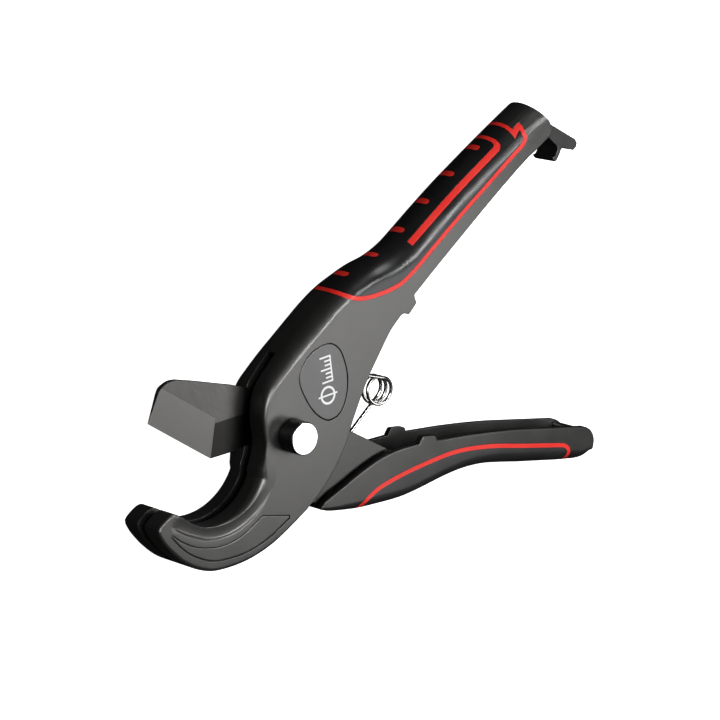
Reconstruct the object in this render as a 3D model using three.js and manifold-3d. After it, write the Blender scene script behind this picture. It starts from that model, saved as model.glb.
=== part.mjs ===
// Ratchet-free plastic pipe cutter with a hooked jaw, a swinging knife blade, a sprung lower
// handle and a swing catch. Millimetres, +Z along the pivot pin (tool lying on its far side),
// +X along the upper handle from the jaw to the catch.
import * as THREE from 'three';
import * as BufferGeometryUtils from 'three/addons/utils/BufferGeometryUtils.js';
import Module from 'manifold-3d';

const wasm = await Module();
wasm.setup();

// ---------------------------------------------------------------- driving dimensions
const W = 18.6;            // thickness of the tool over the two cheeks
const MID = W / 2;
const WALL = 2.4;          // wall of both handle channels
const CHEEK = 2.5;         // thickness of a cheek beside the neck
const NECK0 = 2.8, NECK1 = 15.8;      // neck of the lower handle between the cheeks
const SLOT0 = 7.5, SLOT1 = 11.1;      // blade slot in jaw, cheeks and neck
const BLADE0 = 8.3, BLADE1 = 10.3;    // blade thickness 2 mm
const PIN_R = 5.1, HEAD_R = 5.55, PIN_TOP = 25.6;    // pivot pin and its standing head
const WIRE = 0.65;                    // spring wire radius
const COIL_R = 4.55;                  // spring coil, centre line radius
const COIL = [38.4, -18.4];           // coil axis at rest
const ANCHOR = [23, 4];               // spring anchor pin in the cheeks
const LEG_TIP = [14.6, -25.4];        // resting place of the lower spring leg in the neck slot
const COIL_Z0 = 8.6, COIL_Z1 = 14.8;
const CATCH_P = [139.2, 6.9];         // catch pivot
const CATCH0 = 4.3, CATCH1 = 14.3;    // width of the catch
const BAR = [96.16, -94.51];          // latch bar in the end of the lower handle
const GRIP = 0.85;                    // thickness of the moulded grips and their piping
const GAP = 0.15;                     // gap between a grip and the metal it sits on
const ORIGIN = [48.1, -29.0569];         // centre of the plan box, moved to 0,0

// ---------------------------------------------------------------- helpers
const toSolid = (geo) => {
  let g = geo.clone();
  for (const n of Object.keys(g.attributes)) if (n !== 'position') g.deleteAttribute(n);
  g = BufferGeometryUtils.mergeVertices(g, 1e-5);
  return new wasm.Manifold(new wasm.Mesh({
    numProp: 3,
    vertProperties: new Float32Array(g.attributes.position.array),
    triVerts: new Uint32Array(g.index.array),
  }));
};
const toGeometry = (solid, tolerance) => {
  const m = solid.asOriginal().simplify(tolerance).getMesh();
  const g = new THREE.BufferGeometry();
  g.setAttribute('position', new THREE.BufferAttribute(new Float32Array(m.vertProperties), 3));
  g.setIndex(new THREE.BufferAttribute(new Uint32Array(m.triVerts), 1));
  g.computeVertexNormals();
  return g;
};
const shapeOf = (pts) => new THREE.Shape(pts.map((p) => new THREE.Vector2(p[0], p[1])));
const prism = (pts, z0, z1) => {
  const g = new THREE.ExtrudeGeometry(shapeOf(pts), { depth: z1 - z0, bevelEnabled: false });
  g.translate(0, 0, z0);
  return toSolid(g);
};
// prism standing along Y, outline given in plan as (x, z)
const prismY = (pts, y0, y1) => {
  const g = new THREE.ExtrudeGeometry(shapeOf(pts.map((p) => [p[0], -p[1]])), { depth: y1 - y0, bevelEnabled: false });
  g.rotateX(-Math.PI / 2);
  g.translate(0, y0, 0);
  return toSolid(g);
};
const disc = (x, y, r, z0, z1, n = 40) => {
  const g = new THREE.CylinderGeometry(r, r, z1 - z0, n);
  g.rotateX(Math.PI / 2);
  g.translate(x, y, (z0 + z1) / 2);
  return toSolid(g);
};
const lathe = (profile, x, y, n = 48) => {
  const g = new THREE.LatheGeometry(profile.map((p) => new THREE.Vector2(p[0], p[1])), n);
  g.rotateX(Math.PI / 2);
  g.translate(x, y, 0);
  return toSolid(g);
};
// smooth run through points, n samples per span
const smooth = (pts, n = 4) => {
  const c = new THREE.CatmullRomCurve3(pts.map((p) => new THREE.Vector3(p[0], p[1], 0)), false, 'centripetal');
  const out = [];
  const N = (pts.length - 1) * n;
  for (let i = 0; i <= N; i++) { const v = c.getPoint(i / N); out.push([v.x, v.y]); }
  return out;
};
const smoothClosed = (pts, n = 4) => {
  const c = new THREE.CatmullRomCurve3(pts.map((p) => new THREE.Vector3(p[0], p[1], 0)), true, 'centripetal');
  const out = [];
  const N = pts.length * n;
  for (let i = 0; i < N; i++) { const v = c.getPoint(i / N); out.push([v.x, v.y]); }
  return out;
};
// smooth run through points with extra columns (crown depth and width), sampled linearly
const smoothCols = (pts, n = 3) => {
  const xy = smooth(pts, n);
  return xy.map((p, i) => {
    const t = i / n, k = Math.min(pts.length - 2, Math.floor(t)), f = t - k;
    return [p[0], p[1], pts[k][2] * (1 - f) + pts[k + 1][2] * f, pts[k][3] * (1 - f) + pts[k + 1][3] * f];
  });
};
// side normals of an open run, pointing to the right of its direction
const runNormals = (run) => run.map((p, i) => {
  const a = run[Math.max(0, i - 1)], b = run[Math.min(run.length - 1, i + 1)];
  const dx = b[0] - a[0], dy = b[1] - a[1], L = Math.hypot(dx, dy);
  return [dy / L, -dx / L];
});
// Outline prism whose crowned points curve in towards both faces: each outline point is
// [x, y, depth, width, nx, ny]; depth/width are the semi-axes of the quarter-ellipse edge.
const LEVELS = [0, 0.03, 0.12, 0.27, 0.48, 0.74, 1];
const crowned = (outline, z0, z1) => {
  const zs = [];
  const wmax = Math.max(...outline.map((p) => p[3] || 0));
  const half = (z1 - z0) / 2;
  const w = Math.min(wmax, half);
  for (const l of LEVELS) zs.push(z0 + l * w);
  const up = zs.map((z) => z0 + z1 - z).reverse();
  const list = w > half - 1e-6 ? zs.concat(up.slice(1)) : zs.concat(up);
  const steps = list.length - 1;
  const g = new THREE.ExtrudeGeometry(shapeOf(outline), { depth: steps, steps, bevelEnabled: false });
  const nearest = (x, y) => {
    let best = outline[0], d = Infinity;
    for (const p of outline) { const e = (p[0] - x) ** 2 + (p[1] - y) ** 2; if (e < d) { d = e; best = p; } }
    return best;
  };
  const pos = g.attributes.position;
  for (let i = 0; i < pos.count; i++) {
    const p = nearest(pos.getX(i), pos.getY(i));
    const z = list[Math.round(pos.getZ(i))];
    let x = p[0], y = p[1];
    if (p[2]) {
      const e = Math.min(z - z0, z1 - z);
      const pw = Math.min(p[3], half);
      if (e < pw) {
        const k = p[2] * (1 - Math.sqrt(Math.max(0, 1 - ((pw - e) / pw) ** 2)));
        x += p[4] * k; y += p[5] * k;
      }
    }
    pos.setXYZ(i, x, y, z);
  }
  return toSolid(g);
};
const withNormals = (cols) => {
  const n = runNormals(cols);
  return cols.map((p, i) => [p[0], p[1], p[2], p[3], n[i][0], n[i][1]]);
};
const plain = (pts) => pts.map((p) => [p[0], p[1], 0, 0, 0, 0]);
const arc = (cx, cy, r, a0, a1, n) => {
  const out = [];
  for (let i = 0; i <= n; i++) {
    const a = (a0 + (a1 - a0) * i / n) * Math.PI / 180;
    out.push([cx + r * Math.cos(a), cy + r * Math.sin(a)]);
  }
  return out;
};
const offsetRun = (run, d) => {
  const n = runNormals(run);
  return run.map((p, i) => [p[0] + n[i][0] * d, p[1] + n[i][1] * d]);
};

const root = new THREE.Group();
const placed = new THREE.Group();
placed.position.set(-ORIGIN[0], -ORIGIN[1], 0);
root.add(placed);
const add = (name, solid, color, roughness, metalness, tolerance = 0.012) => {
  const m = new THREE.Mesh(toGeometry(solid, tolerance), new THREE.MeshStandardMaterial({ color, roughness, metalness }));
  m.name = name;
  placed.add(m);
  return m;
};

// ---------------------------------------------------------------- body
// spine, from the mouth of the hook up over the cheeks to the end of the upper handle
const spineCols = [
  [-16.2, -0.9, 2.6, 3.4], [-12.2, 1.9, 0.65, 1.2], [-9.2, 5.0, 0.8, 0.9], [-7.3, 8.6, 0.95, 1.1], [-5.0, 12.4, 1.3, 1.6],
  [-1.8, 16.0, 1.9, 2.6], [2.6, 18.8, 2.8, 4.0], [8.0, 20.2, 3.6, 5.2], [14.5, 21.3, 4.2, 6.0], [22, 22.0, 4.6, 6.5],
  [29, 22.5, 4.6, 6.8], [37, 23.0, 4.7, 7.2], [44.5, 22.9, 4.9, 7.7], [52, 21.8, 5.4, 8.3], [58.5, 20.5, 6.0, 8.9],
  [66, 18.2, 7.0, 9.3], [73, 17.2, 7.6, 9.3], [80, 17.3, 7.9, 9.3], [90, 17.6, 8, 9.3], [102, 17.7, 8, 9.3],
  [114, 17.4, 8, 9.3], [127, 16.9, 8, 9.3], [138, 16.3, 8, 9.3], [146, 15.8, 8, 9.3],
];
const spine = withNormals(smoothCols(spineCols, 3));
for (const p of spine.slice(-4)) { p[4] = 0; p[5] = -1; }
const handleEnd = plain([[146, 6.6], [145.6, 4.4], [144.2, 3.1]]);
const underside = plain([
  ...smooth([[138.2, 3.2], [129.5, 3.7], [118, 3.55], [108.4, 3.2], [87.6, 2.1], [76, 1.4], [66.2, 0.7]], 2),
  [65.5, -1.3], [64.7, -2.3], [60.9, -3.0], [59.4, -1.4],
  ...smooth([[57.8, -0.9], [52, -1.75], [47.8, -3.1], [41.6, -5.4], [36.6, -7.3], [31.6, -9.5], [26, -12.5], [21.4, -15.1],
    [15.5, -18.7], [9.5, -21.3], [3, -23.3], [-4, -24.6]], 3),
]);
const lowerJaw = withNormals(smoothCols([
  [-10, -25.1, 0.5, 0.6], [-17.1, -25.1, 1, 1.2], [-27, -24.3, 1.4, 1.6], [-36.8, -21.4, 1.4, 1.6], [-45.4, -16.8, 1.4, 1.6], [-50.6, -12.6, 1.4, 1.6],
  [-55.2, -5.6, 1.3, 1.5], [-57.3, 1.0, 1.2, 1.4], [-58.2, 8.6, 1, 1.2], [-57.9, 12.2, 0.9, 1.1],
], 3));
const jawTip = withNormals(smoothCols([
  [-57.2, 13.5, 0.8, 1], [-55.8, 14.0, 0.8, 1], [-51, 13.9, 0.8, 1], [-49.4, 13.2, 0.8, 1], [-48.4, 11.7, 0.7, 0.8],
], 2));
const hookInside = withNormals([[-47.2, 9.2], [-45.9, 5.6], [-44.6, 3.0], ...arc(-28.2, 15.4, 21, 222, 301, 18)].map((p) => {
  // the rounding of the throat edge widens towards the cheek
  const t = Math.max(0, (Math.atan2(p[1] - 15.4, p[0] + 28.2) * 180 / Math.PI + 360) % 360 - 232) / 69;
  return p[0] > -43 ? [p[0], p[1], 0.6 + 2.4 * t, 0.7 + 3.1 * t] : [p[0], p[1], 0.6, 0.7];
}));
const bodyOutline = [...spine, ...handleEnd, ...underside, ...lowerJaw, ...jawTip, ...hookInside];
// keep neighbouring outline points apart
const tidy = (pts) => pts.filter((p, i) => {
  const q = pts[(i + 1) % pts.length];
  return Math.hypot(p[0] - q[0], p[1] - q[1]) > 0.25;
});
const outline = tidy(bodyOutline);
// the end of the handle leans back towards the spine
const bodyOuter = crowned(outline, 0, W).subtract(prism([[144.42, 17], [146.04, 6.4], [149, 6.4], [149, 17]], -1, W + 1));
// the same outline, sunk by the thickness of the grip
const sunk = (t) => crowned(outline.map((p) => (p[3] >= 8 || p[0] > 40) && p[2] > 2
  ? [p[0] + p[4] * t, p[1] + p[5] * t, p[2], p[3], p[4], p[5]] : p), t, W - t);

// hollow for the neck and the channel of the upper handle
const hollow = [
  [-9.7, -30], [-9.7, -3], ...arc(0, 0, 9.2, 198, 100, 12), [2.5, 12.5], [9, 15.4], [20, 16.6], [32, 17.3],
  [42, 17.3], [50, 16.6], [58, 15.1], [65, 12.6], [72, 11.2], [82, 11.2], [95, 11.5], [110, 11.4], [126, 10.9], [138, 10.3], [149, 9.8],
  [149, -10], [60, -10], [45, -30],
];
const hollowHigh = [
  [40, 10], [42, 19.2], [50, 18.4], [58, 17.1], [65, 15], [72, 13.8], [82, 13.9], [95, 14.2], [110, 14.1], [126, 13.6], [138, 13.0], [149, 12.4], [149, 8], [60, 8],
];
const jawSlot = [
  [15, 26], [15, 8], [-4, -8], [-12, -12], [-20, -13.2], [-30, -13], [-40, -9.6], [-50, -4.8], [-64, -2.4], [-64, 20], [-45, 20], [-30, 8], [-14, 8], [-14, 26],
];
let body = bodyOuter
  .subtract(prism(hollow, CHEEK, W - CHEEK))
  .subtract(prism(hollowHigh, 4.6, W - 4.6))
  .subtract(prism(jawSlot, SLOT0, SLOT1))
  .subtract(disc(0, 0, PIN_R + 0.25, -1, W + 1, 48))
  .subtract(disc(0, 0, 7.4, -1, 1.45, 48));
// recessed land on both sides of the hook, leaving a rim along the throat
const landRun = [[-10, -23.3], [-27, -22.4], [-36.2, -19.7], [-44.2, -15.4], [-49.2, -11.2], [-53.4, -4.6], [-55.4, 1.4], [-56.2, 8.4],
  [-55.2, 11.4], [-51.4, 12.0], [-50.2, 8.2]];
const land = [...smooth(landRun, 3), ...arc(-28.2, 15.4, 23.2, 204, 300, 20), [-8, -9.5], [-4.5, -16]];
for (const [a, b] of [[-1, 0.45], [W - 0.45, W + 1]]) body = body.subtract(prism(land, a, b));
// raised crescent on each hook land
const crescent = [...smooth([[-18, -21.6], [-27, -20.7], [-35.4, -18.3], [-42.6, -14.3], [-47.6, -10.2], [-51.6, -4.0], [-53.6, 1.6], [-54.4, 7.6]], 3),
  [-53.6, 7.8], ...smooth([[-52.6, 3.8], [-50.4, -0.6], [-47.2, -4.7], [-41, -9.8], [-33.4, -12.4], [-24.4, -13]], 3), [-16.8, -21.2]];
for (const [a, b] of [[0.12, 1.0], [W - 1.0, W - 0.12]]) body = body.add(prism(crescent, a, b).subtract(prism(jawSlot, SLOT0, SLOT1)));
// pocket of the badge
const egg = smoothClosed([[29.6, 13.4], [21.3, 16.2], [13.5, 13.0], [11.2, 4.7], [11.8, -3.0], [14.6, -7.8], [19.6, -8.8], [24.5, -6.2],
  [28.6, -1.6], [31.0, 4.0], [31.7, 9.4]], 4);
const eggIn = (d) => egg.map((p) => { const dx = p[0] - 21.2, dy = p[1] - 3.4, L = Math.hypot(dx, dy); return [p[0] - dx / L * d, p[1] - dy / L * d]; });
body = body.subtract(prism(egg, W - 0.8, W + 1));
// spring anchor and catch pin bores, blind from inside
body = body.subtract(disc(ANCHOR[0], ANCHOR[1], 1.4, 1.2, W - 1.2, 20));
body = body.subtract(disc(CATCH_P[0], CATCH_P[1], 1.65, 1.1, W - 1.1, 24));

// grip region of the upper handle
const gripLow = smooth([[58, 9.2], [64, 7.2], [73.3, 6.8], [82.5, 7.3], [97.7, 7.9], [112.6, 8.1], [126.8, 8.3]], 3);
const PIPE = 1.5;
// rear end of the edge, where the piping folds back on itself: outer line and the line PIPE inside it
const foldOut = [[131, 8.25], [133.5, 8.7], [135.1, 9.8], [135.8, 11.5], [136.9, 13.6], [136.5, 14.5], [134.6, 14.5], [133.3, 14.3], [133.6, 15.6], [133.65, 27]];
const foldIn = [[130.8, 9.75], [132.7, 10.1], [133.8, 10.8], [134.3, 12.0], [134.8, 12.9], [134.6, 13.1], [133.4, 12.9], [131.1, 12.3], [132.05, 15.6], [132.1, 27]];
const gripFront = [[41.6, 27], [42.4, 23.2], [44.2, 19.6], [47, 16], [51.6, 12.6], ...gripLow];
const gripFrontIn = offsetRun(gripFront, -PIPE).map((p, i) => (i ? p : [p[0], 27]));
const inner = (pts, d) => { // region drawn in by d, open at the top
  const to = [...gripFrontIn, ...foldIn];
  return pts.map((p, i) => [p[0] + (to[i][0] - p[0]) * d / PIPE, p[1] + (to[i][1] - p[1]) * d / PIPE]);
};
const gripEdge = [...gripFront, ...foldOut];
const regionAll = gripEdge, regionPipeIn = inner(gripEdge, PIPE), regionGrip = inner(gripEdge, PIPE + GAP);
body = body.subtract(prism(regionAll, -1, W + 1).subtract(sunk(GRIP + GAP)));
const shell = (region) => prism(region, -1, W + 1).intersect(bodyOuter.subtract(sunk(GRIP)));
const piping = shell(inner(gripEdge, GAP)).subtract(prism(regionPipeIn, -1, W + 1));
let grip = shell(regionGrip);
// inner piping: a long U over the shoulders, closed near the catch end
const uBand = [[76, 1.7], [123.7, 1.7], [125.5, 2.4], [126.3, 4.2], [126.3, W - 4.2], [125.5, W - 2.4], [123.7, W - 1.7], [76, W - 1.7],
  [76, W - 3.3], [123.1, W - 3.3], [124.3, W - 3.8], [124.7, W - 4.8], [124.7, 4.8], [124.3, 3.8], [123.1, 3.3], [76, 3.3]];
const grow = (pts, d) => { // outset of a closed plan outline
  const n = pts.length;
  return pts.map((p, i) => {
    const a = pts[(i + n - 1) % n], b = pts[(i + 1) % n];
    const u = [p[0] - a[0], p[1] - a[1]], v = [b[0] - p[0], b[1] - p[1]];
    const lu = Math.hypot(...u), lv = Math.hypot(...v);
    const nu = [u[1] / lu, -u[0] / lu], nv = [v[1] / lv, -v[0] / lv];
    const k = 1 + nu[0] * nv[0] + nu[1] * nv[1];
    return [p[0] + (nu[0] + nv[0]) / k * d, p[1] + (nu[1] + nv[1]) / k * d];
  });
};
const uSolid = prismY(uBand, 9.5, 24);
grip = grip.subtract(prismY(grow(uBand, 0.15), 9.4, 24));
const innerPiping = uSolid.intersect(bodyOuter.subtract(sunk(GRIP)));
// six short dashes across the spine, inlaid in the grip
const DASH = [[120.2, 0], [106.4, 0], [92.6, 0], [78.8, 0], [65.4, 0], [52.3, 0]];
const stadium = (x, halfX, z0, z1) => {
  const out = [];
  for (let i = 0; i <= 6; i++) { const a = Math.PI * i / 6; out.push([x + halfX * Math.cos(a), z1 - halfX + halfX * Math.sin(a)]); }
  for (let i = 0; i <= 6; i++) { const a = Math.PI + Math.PI * i / 6; out.push([x + halfX * Math.cos(a), z0 + halfX + halfX * Math.sin(a)]); }
  return out;
};
const dashSkin = bodyOuter.subtract(sunk(0.5));
const dashes = DASH.map(([x]) => prismY(stadium(x, 1.15, 4.9, 11.9), 9.5, 26).intersect(dashSkin));
const pocketFloor = sunk(0.62);
for (const [x] of DASH) grip = grip.subtract(prismY(stadium(x, 1.28, 4.77, 12.03), 9.5, 26).subtract(pocketFloor));
add('body', body, 0x45464a, 0.42, 0.85, 0.03);
add('upper_grip', grip, 0x17171a, 0.35, 0.1, 0.035);
add('upper_piping_outer', piping, 0xd8332a, 0.4, 0.05);
add('upper_piping_inner', innerPiping, 0xd8332a, 0.4, 0.05);
dashes.forEach((d, i) => add(`grip_dash_${i + 1}`, d, 0xd8332a, 0.4, 0.05));
add('badge_plate', prism(eggIn(0.3), W - 0.65, W - 0.05), 0x55565a, 0.4, 0.8);

// ---------------------------------------------------------------- lower handle
const topEdge = [[-5.6, -28.9], [-3, -28.5], ...smooth([[-0.9, -28.9], [5.6, -30.2], [14.3, -31.8], [22.3, -33.9], [29.6, -37.1], [37.9, -42.2]], 3),
  [38.3, -41.9], [40.3, -41.3], [41.2, -41.7], [44.2, -44.2], [44.9, -45.4], [44.4, -46.6],
  ...smooth([[45.8, -48.0], [58.6, -57.95], [72.3, -69.5], [85.6, -81.85], [95.6, -91.2]], 3)];
const lowEnd = [[97.4, -93.2], [98.4, -95.8], [97.9, -98.8], [96.0, -101.2]];
const bottomCols = [[93.9, -102.2, 2.5, 3], [90.0, -101.6, 3.4, 4.5], [83.9, -97.2, 4.4, 6], [76.5, -90.3, 4.5, 6], [69.1, -83.4, 4.5, 6], [62.3, -76.8, 4.5, 6], [55.9, -71.0, 4.5, 6],
  [49.5, -66.5, 4.5, 6], [43.9, -63.4, 4.5, 6], [37.7, -60.5, 4.5, 6], [30.4, -57.4, 4.5, 6], [22.8, -53.6, 4.3, 5.5],
  [12.7, -46.9, 4, 5], [6.5, -42.3, 3.4, 4.5], [1.0, -37.4, 2.6, 3.5], [-3.2, -33.2, 1.8, 2.4], [-5.4, -30.2, 1.0, 1.2]];
const lowBottom = withNormals(smoothCols(bottomCols, 3));
const lowOutline = tidy([...plain(topEdge), ...plain(lowEnd), ...lowBottom]);
const lowOuter = crowned(lowOutline, 0, W);
const lowSunk = (t) => crowned(lowOutline.map((p) => (p[2] ? [p[0] + p[4] * t, p[1] + p[5] * t, p[2], p[3], p[4], p[5]] : p)), t, W - t);
// channel between the walls, open along the top and at the end
const floorRun = smooth([[26, -45.8], [33, -52.2], [40, -56.6], [46.5, -59.6], [52.2, -62.6], [58.6, -66.9], [65.2, -73.2], [72, -80.0], [79.4, -87.2], [86.4, -93.9]], 3);
const channel = [[28.4, -30], [28.2, -37], [26.8, -41], ...floorRun, [90.8, -98], [95, -106], [112, -100], [96, -78], [45, -30]];
let low = lowOuter.subtract(prism(channel, WALL, W - WALL));
// notch in the end of the channel floor for the thumb tab of the catch
low = low.subtract(prism([[86.2, -92.5], [84.5, -110], [110, -110], [110, -85]], CATCH0 - 0.9, CATCH1 + 0.9));
const neck = [...arc(0, 0, 8, 205, -20, 30), [10.2, -4.5], [13.2, -6.6], [20.5, -19.4], [28.8, -36.5], [29.6, -42], [30, -48], [24, -50.5], [13, -44.5],
  [6, -39.5], [0.6, -34], [-3.2, -29.2], [-7.6, -25.6], [-8.6, -23], [-8.2, -8]];
low = low.add(prism(neck, NECK0, NECK1));
// groove along the foot of the neck, on both faces
const footRun = smooth([[-6, -29.4], [-0.9, -28.95], [5.6, -30.25], [14.3, -31.85], [22.3, -33.95], [30.5, -37.6]], 3);
const foot = [...footRun, ...offsetRun(footRun, -1.25).reverse()];
for (const [a, b] of [[NECK0 - 0.2, NECK0 + 1.2], [NECK1 - 1.2, NECK1 + 0.2]]) low = low.subtract(prism(foot, a, b));
const neckSlot = [[-14, 14], [-14, -24.6], [6, -27.8], [13, -27.3], [17, -28.5], [24, -31.9], [34, -38.2], [42, -34], [30, 0], [14, 14]];
low = low.subtract(prism(neckSlot, SLOT0, SLOT1));
low = low.subtract(disc(0, 0, PIN_R + 0.25, -1, W + 1, 48));
const RIVET = [3.6, -14.6];
low = low.subtract(disc(RIVET[0], RIVET[1], 2.25, -1, W + 1, 28));
low = low.subtract(disc(BAR[0], BAR[1], 1.25, 0.9, W - 0.9, 20));

// grip region of the lower handle: everything below the piping line
const lowLine = smooth([[3.0, -41.4], [5.9, -40.6], [9.6, -40.2], [13, -40.3], [17, -41.0], [24.7, -43.7], [35.9, -48.7], [48.8, -55.6], [60.4, -64.7], [73.4, -77.4], [84.6, -88.3]], 3);
const lowEdge = [[-6, -46], [0, -43], ...lowLine, [87.0, -91.2], [86.9, -93.6], [84.6, -96.4], [78, -103]];
const lowClose = [[60, -100], [20, -75]];
const lowInner = (d) => { const r = offsetRun(lowEdge, d); return [...r, ...lowClose]; };
low = low.subtract(prism([...lowEdge, ...lowClose], -1, W + 1).subtract(lowSunk(GRIP + GAP)));
const lowShell = (region) => prism(region, -1, W + 1).intersect(lowOuter.subtract(lowSunk(GRIP)));
const lowPiping = lowShell(lowInner(GAP)).subtract(prism(lowInner(PIPE), -1, W + 1));
const lowGrip = lowShell(lowInner(PIPE + GAP));
add('lower_handle', low, 0x45464a, 0.42, 0.85, 0.03);
add('lower_grip', lowGrip, 0x2a2b2e, 0.5, 0.1, 0.035);
add('lower_piping', lowPiping, 0xd8332a, 0.4, 0.05);

// ---------------------------------------------------------------- blade
const bladeOutline = [[-35.5, 38.0], [-24.3, 11.0], [-17.4, 6.9], [-12.6, 4.7], [-8.9, 2.4], ...arc(0, 0, 8.2, 172, 238, 8), [-2.6, -9.4],
  [-1.4, -14.6], ...arc(RIVET[0], RIVET[1], 4.6, 190, 350, 8), [9.6, -6.5], ...arc(0, 0, 8.2, -20, 48, 8), [5.2, 9.6], [1.4, 17.8], [-3.4, 24.2], [-13.3, 35.6], [-18.8, 41.6],
  ...smooth([[-20.2, 42.7], [-21.6, 43.4], [-23.6, 43.9], [-25.6, 43.9], [-27.2, 43.2]], 2)];
let blade = prism(bladeOutline, BLADE0, BLADE1);
// ground bevels: both faces taper to the cutting edges
const bevelWedge = (a, b, land, side) => {
  // a->b cutting edge, material to the left; wedge removes the corner between edge and land line
  const dx = b[0] - a[0], dy = b[1] - a[1], L = Math.hypot(dx, dy);
  const nx = -dy / L, ny = dx / L;
  const g = new THREE.ExtrudeGeometry(new THREE.Shape([
    new THREE.Vector2(-0.6, 0.12 - 0.05), new THREE.Vector2(land, 1.0 - 0.0), new THREE.Vector2(land, 1.6), new THREE.Vector2(-0.6, 1.6),
  ]), { depth: L + 60, bevelEnabled: false });
  const m = new THREE.Matrix4().makeBasis(new THREE.Vector3(nx, ny, 0), new THREE.Vector3(0, 0, side), new THREE.Vector3(dx / L, dy / L, 0).multiplyScalar(side === 1 ? 1 : 1));
  // keep a right-handed frame
  if (m.determinant() < 0) { const f = new THREE.Matrix4().makeScale(1, 1, -1); m.multiply(f); g.translate(0, 0, -(L + 60)); }
  const t = new THREE.Matrix4().makeTranslation(a[0] - dx / L * 30, a[1] - dy / L * 30, MID);
  g.applyMatrix4(t.multiply(m));
  return toSolid(g);
};
// region next to each edge, so that the two grinds meet on the ridge at the knee
const TIPP = [-35.5, 38.0], KNEE = [-24.3, 11.0], HEEL = [-8.9, 2.4];
const grindA = prism([[-45, 45], [-36, 5], KNEE, [-15.2, 19], [-22.5, 45]], 0, W);
const grindB = prism([[-36, 5], [0, -8], [-2, 14], [-15.2, 19], KNEE], 0, W);
for (const s of [1, -1]) {
  blade = blade.subtract(bevelWedge(TIPP, KNEE, 9.6, s).intersect(grindA));
  blade = blade.subtract(bevelWedge(KNEE, HEEL, 9.0, s).intersect(grindB));
}
blade = blade.subtract(disc(0, 0, PIN_R + 0.25, -1, W + 1, 48)).subtract(disc(RIVET[0], RIVET[1], 2.25, -1, W + 1, 28));
add('blade', blade, 0x8c8d90, 0.32, 0.95);
add('blade_rivet', lathe([[0, NECK0 + 0.15], [1.8, NECK0 + 0.15], [2.05, NECK0 + 0.4], [2.05, NECK1 - 0.4], [1.8, NECK1 - 0.15], [0, NECK1 - 0.15]], RIVET[0], RIVET[1], 28), 0x9a9a9d, 0.35, 0.9);
const washer = (z0, z1) => disc(0, 0, 7.6, z0, z1, 32).subtract(disc(0, 0, PIN_R + 0.25, z0 - 1, z1 + 1, 32));
add('blade_washer_far', washer(SLOT0 + 0.12, BLADE0 - 0.12), 0xb5a27a, 0.4, 0.8);
add('blade_washer_near', washer(BLADE1 + 0.12, SLOT1 - 0.12), 0xb5a27a, 0.4, 0.8);

// ---------------------------------------------------------------- pivot pin and its clip
add('pivot_pin', lathe([[0, 0.15], [4.2, 0.15], [4.6, 0.35], [4.6, 1.35], [PIN_R, 1.5], [PIN_R, W + 0.12], [HEAD_R, W + 0.12], [HEAD_R, PIN_TOP - 0.6], [HEAD_R - 0.25, PIN_TOP - 0.15], [HEAD_R - 0.7, PIN_TOP], [0, PIN_TOP]], 0, 0, 40), 0xd9dadc, 0.15, 1);
{
  const ring = arc(0, 0, 6.8, 20, 340, 30), innerRing = arc(0, 0, 4.75, 340, 20, 30);
  add('pivot_clip', prism([...ring, ...innerRing], 0.3, 1.2), 0x707174, 0.3, 1);
}

// ---------------------------------------------------------------- spring
const wireAlong = (pts, steps, sides = 8) => {
  const curve = new THREE.CatmullRomCurve3(pts.map((p) => new THREE.Vector3(...p)), false, 'centripetal');
  const sec = new THREE.Shape();
  for (let i = 0; i < sides; i++) {
    const a = 2 * Math.PI * i / sides;
    if (i) sec.lineTo(WIRE * Math.cos(a), WIRE * Math.sin(a)); else sec.moveTo(WIRE, 0);
  }
  return toSolid(new THREE.ExtrudeGeometry(sec, { steps, extrudePath: curve, bevelEnabled: false }));
};
// angles, degrees: where the upper leg meets the coil, and where the lower leg leaves it
const A0 = 46, TURN = -(130 + 720);
const coilPoint = (t, r = COIL_R) => {
  const a = (A0 + TURN * t) * Math.PI / 180;
  return [COIL[0] + r * Math.cos(a), COIL[1] + r * Math.sin(a), COIL_Z1 + (COIL_Z0 - COIL_Z1) * t];
};
{
  const pts = [];
  const T1 = coilPoint(0);
  const d = [T1[0] - ANCHOR[0], T1[1] - ANCHOR[1]], L = Math.hypot(...d);
  // open eye around the anchor pin, then the straight upper leg
  const R = 1.25 + WIRE + 0.2;
  const base = Math.atan2(d[1], d[0]);
  for (let i = 0; i <= 9; i++) {
    const a = base + Math.PI / 2 + (-250 + 250 * i / 9) * -1 * Math.PI / 180;
    pts.push([ANCHOR[0] + R * Math.cos(a), ANCHOR[1] + R * Math.sin(a), COIL_Z1 - 0.02 * (9 - i)]);
  }
  const last = pts[pts.length - 1];
  pts.push([last[0] + (T1[0] - last[0]) * 0.3, last[1] + (T1[1] - last[1]) * 0.3, COIL_Z1]);
  pts.push([last[0] + (T1[0] - last[0]) * 0.75, last[1] + (T1[1] - last[1]) * 0.75, COIL_Z1]);
  const N = 30;
  for (let i = 0; i <= N - 1; i++) pts.push(coilPoint(i / N));
  add('spring_coil', wireAlong(pts, 96, 7), 0xcfd0d2, 0.2, 1);
  const T2 = coilPoint(1);
  const q = [LEG_TIP[0] - T2[0], LEG_TIP[1] - T2[1]];
  const leg = [coilPoint(1 - 0.55 / N * 1.0 + 0.02), T2];
  leg.length = 0;
  leg.push([T2[0] + q[0] * 0.01, T2[1] + q[1] * 0.01, COIL_Z0], [T2[0] + q[0] * 0.3, T2[1] + q[1] * 0.3, COIL_Z0], [T2[0] + q[0] * 0.7, T2[1] + q[1] * 0.7, COIL_Z0], [LEG_TIP[0], LEG_TIP[1], COIL_Z0]);
  add('spring_leg', wireAlong(leg, 6), 0xcfd0d2, 0.2, 1);
}
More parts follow.
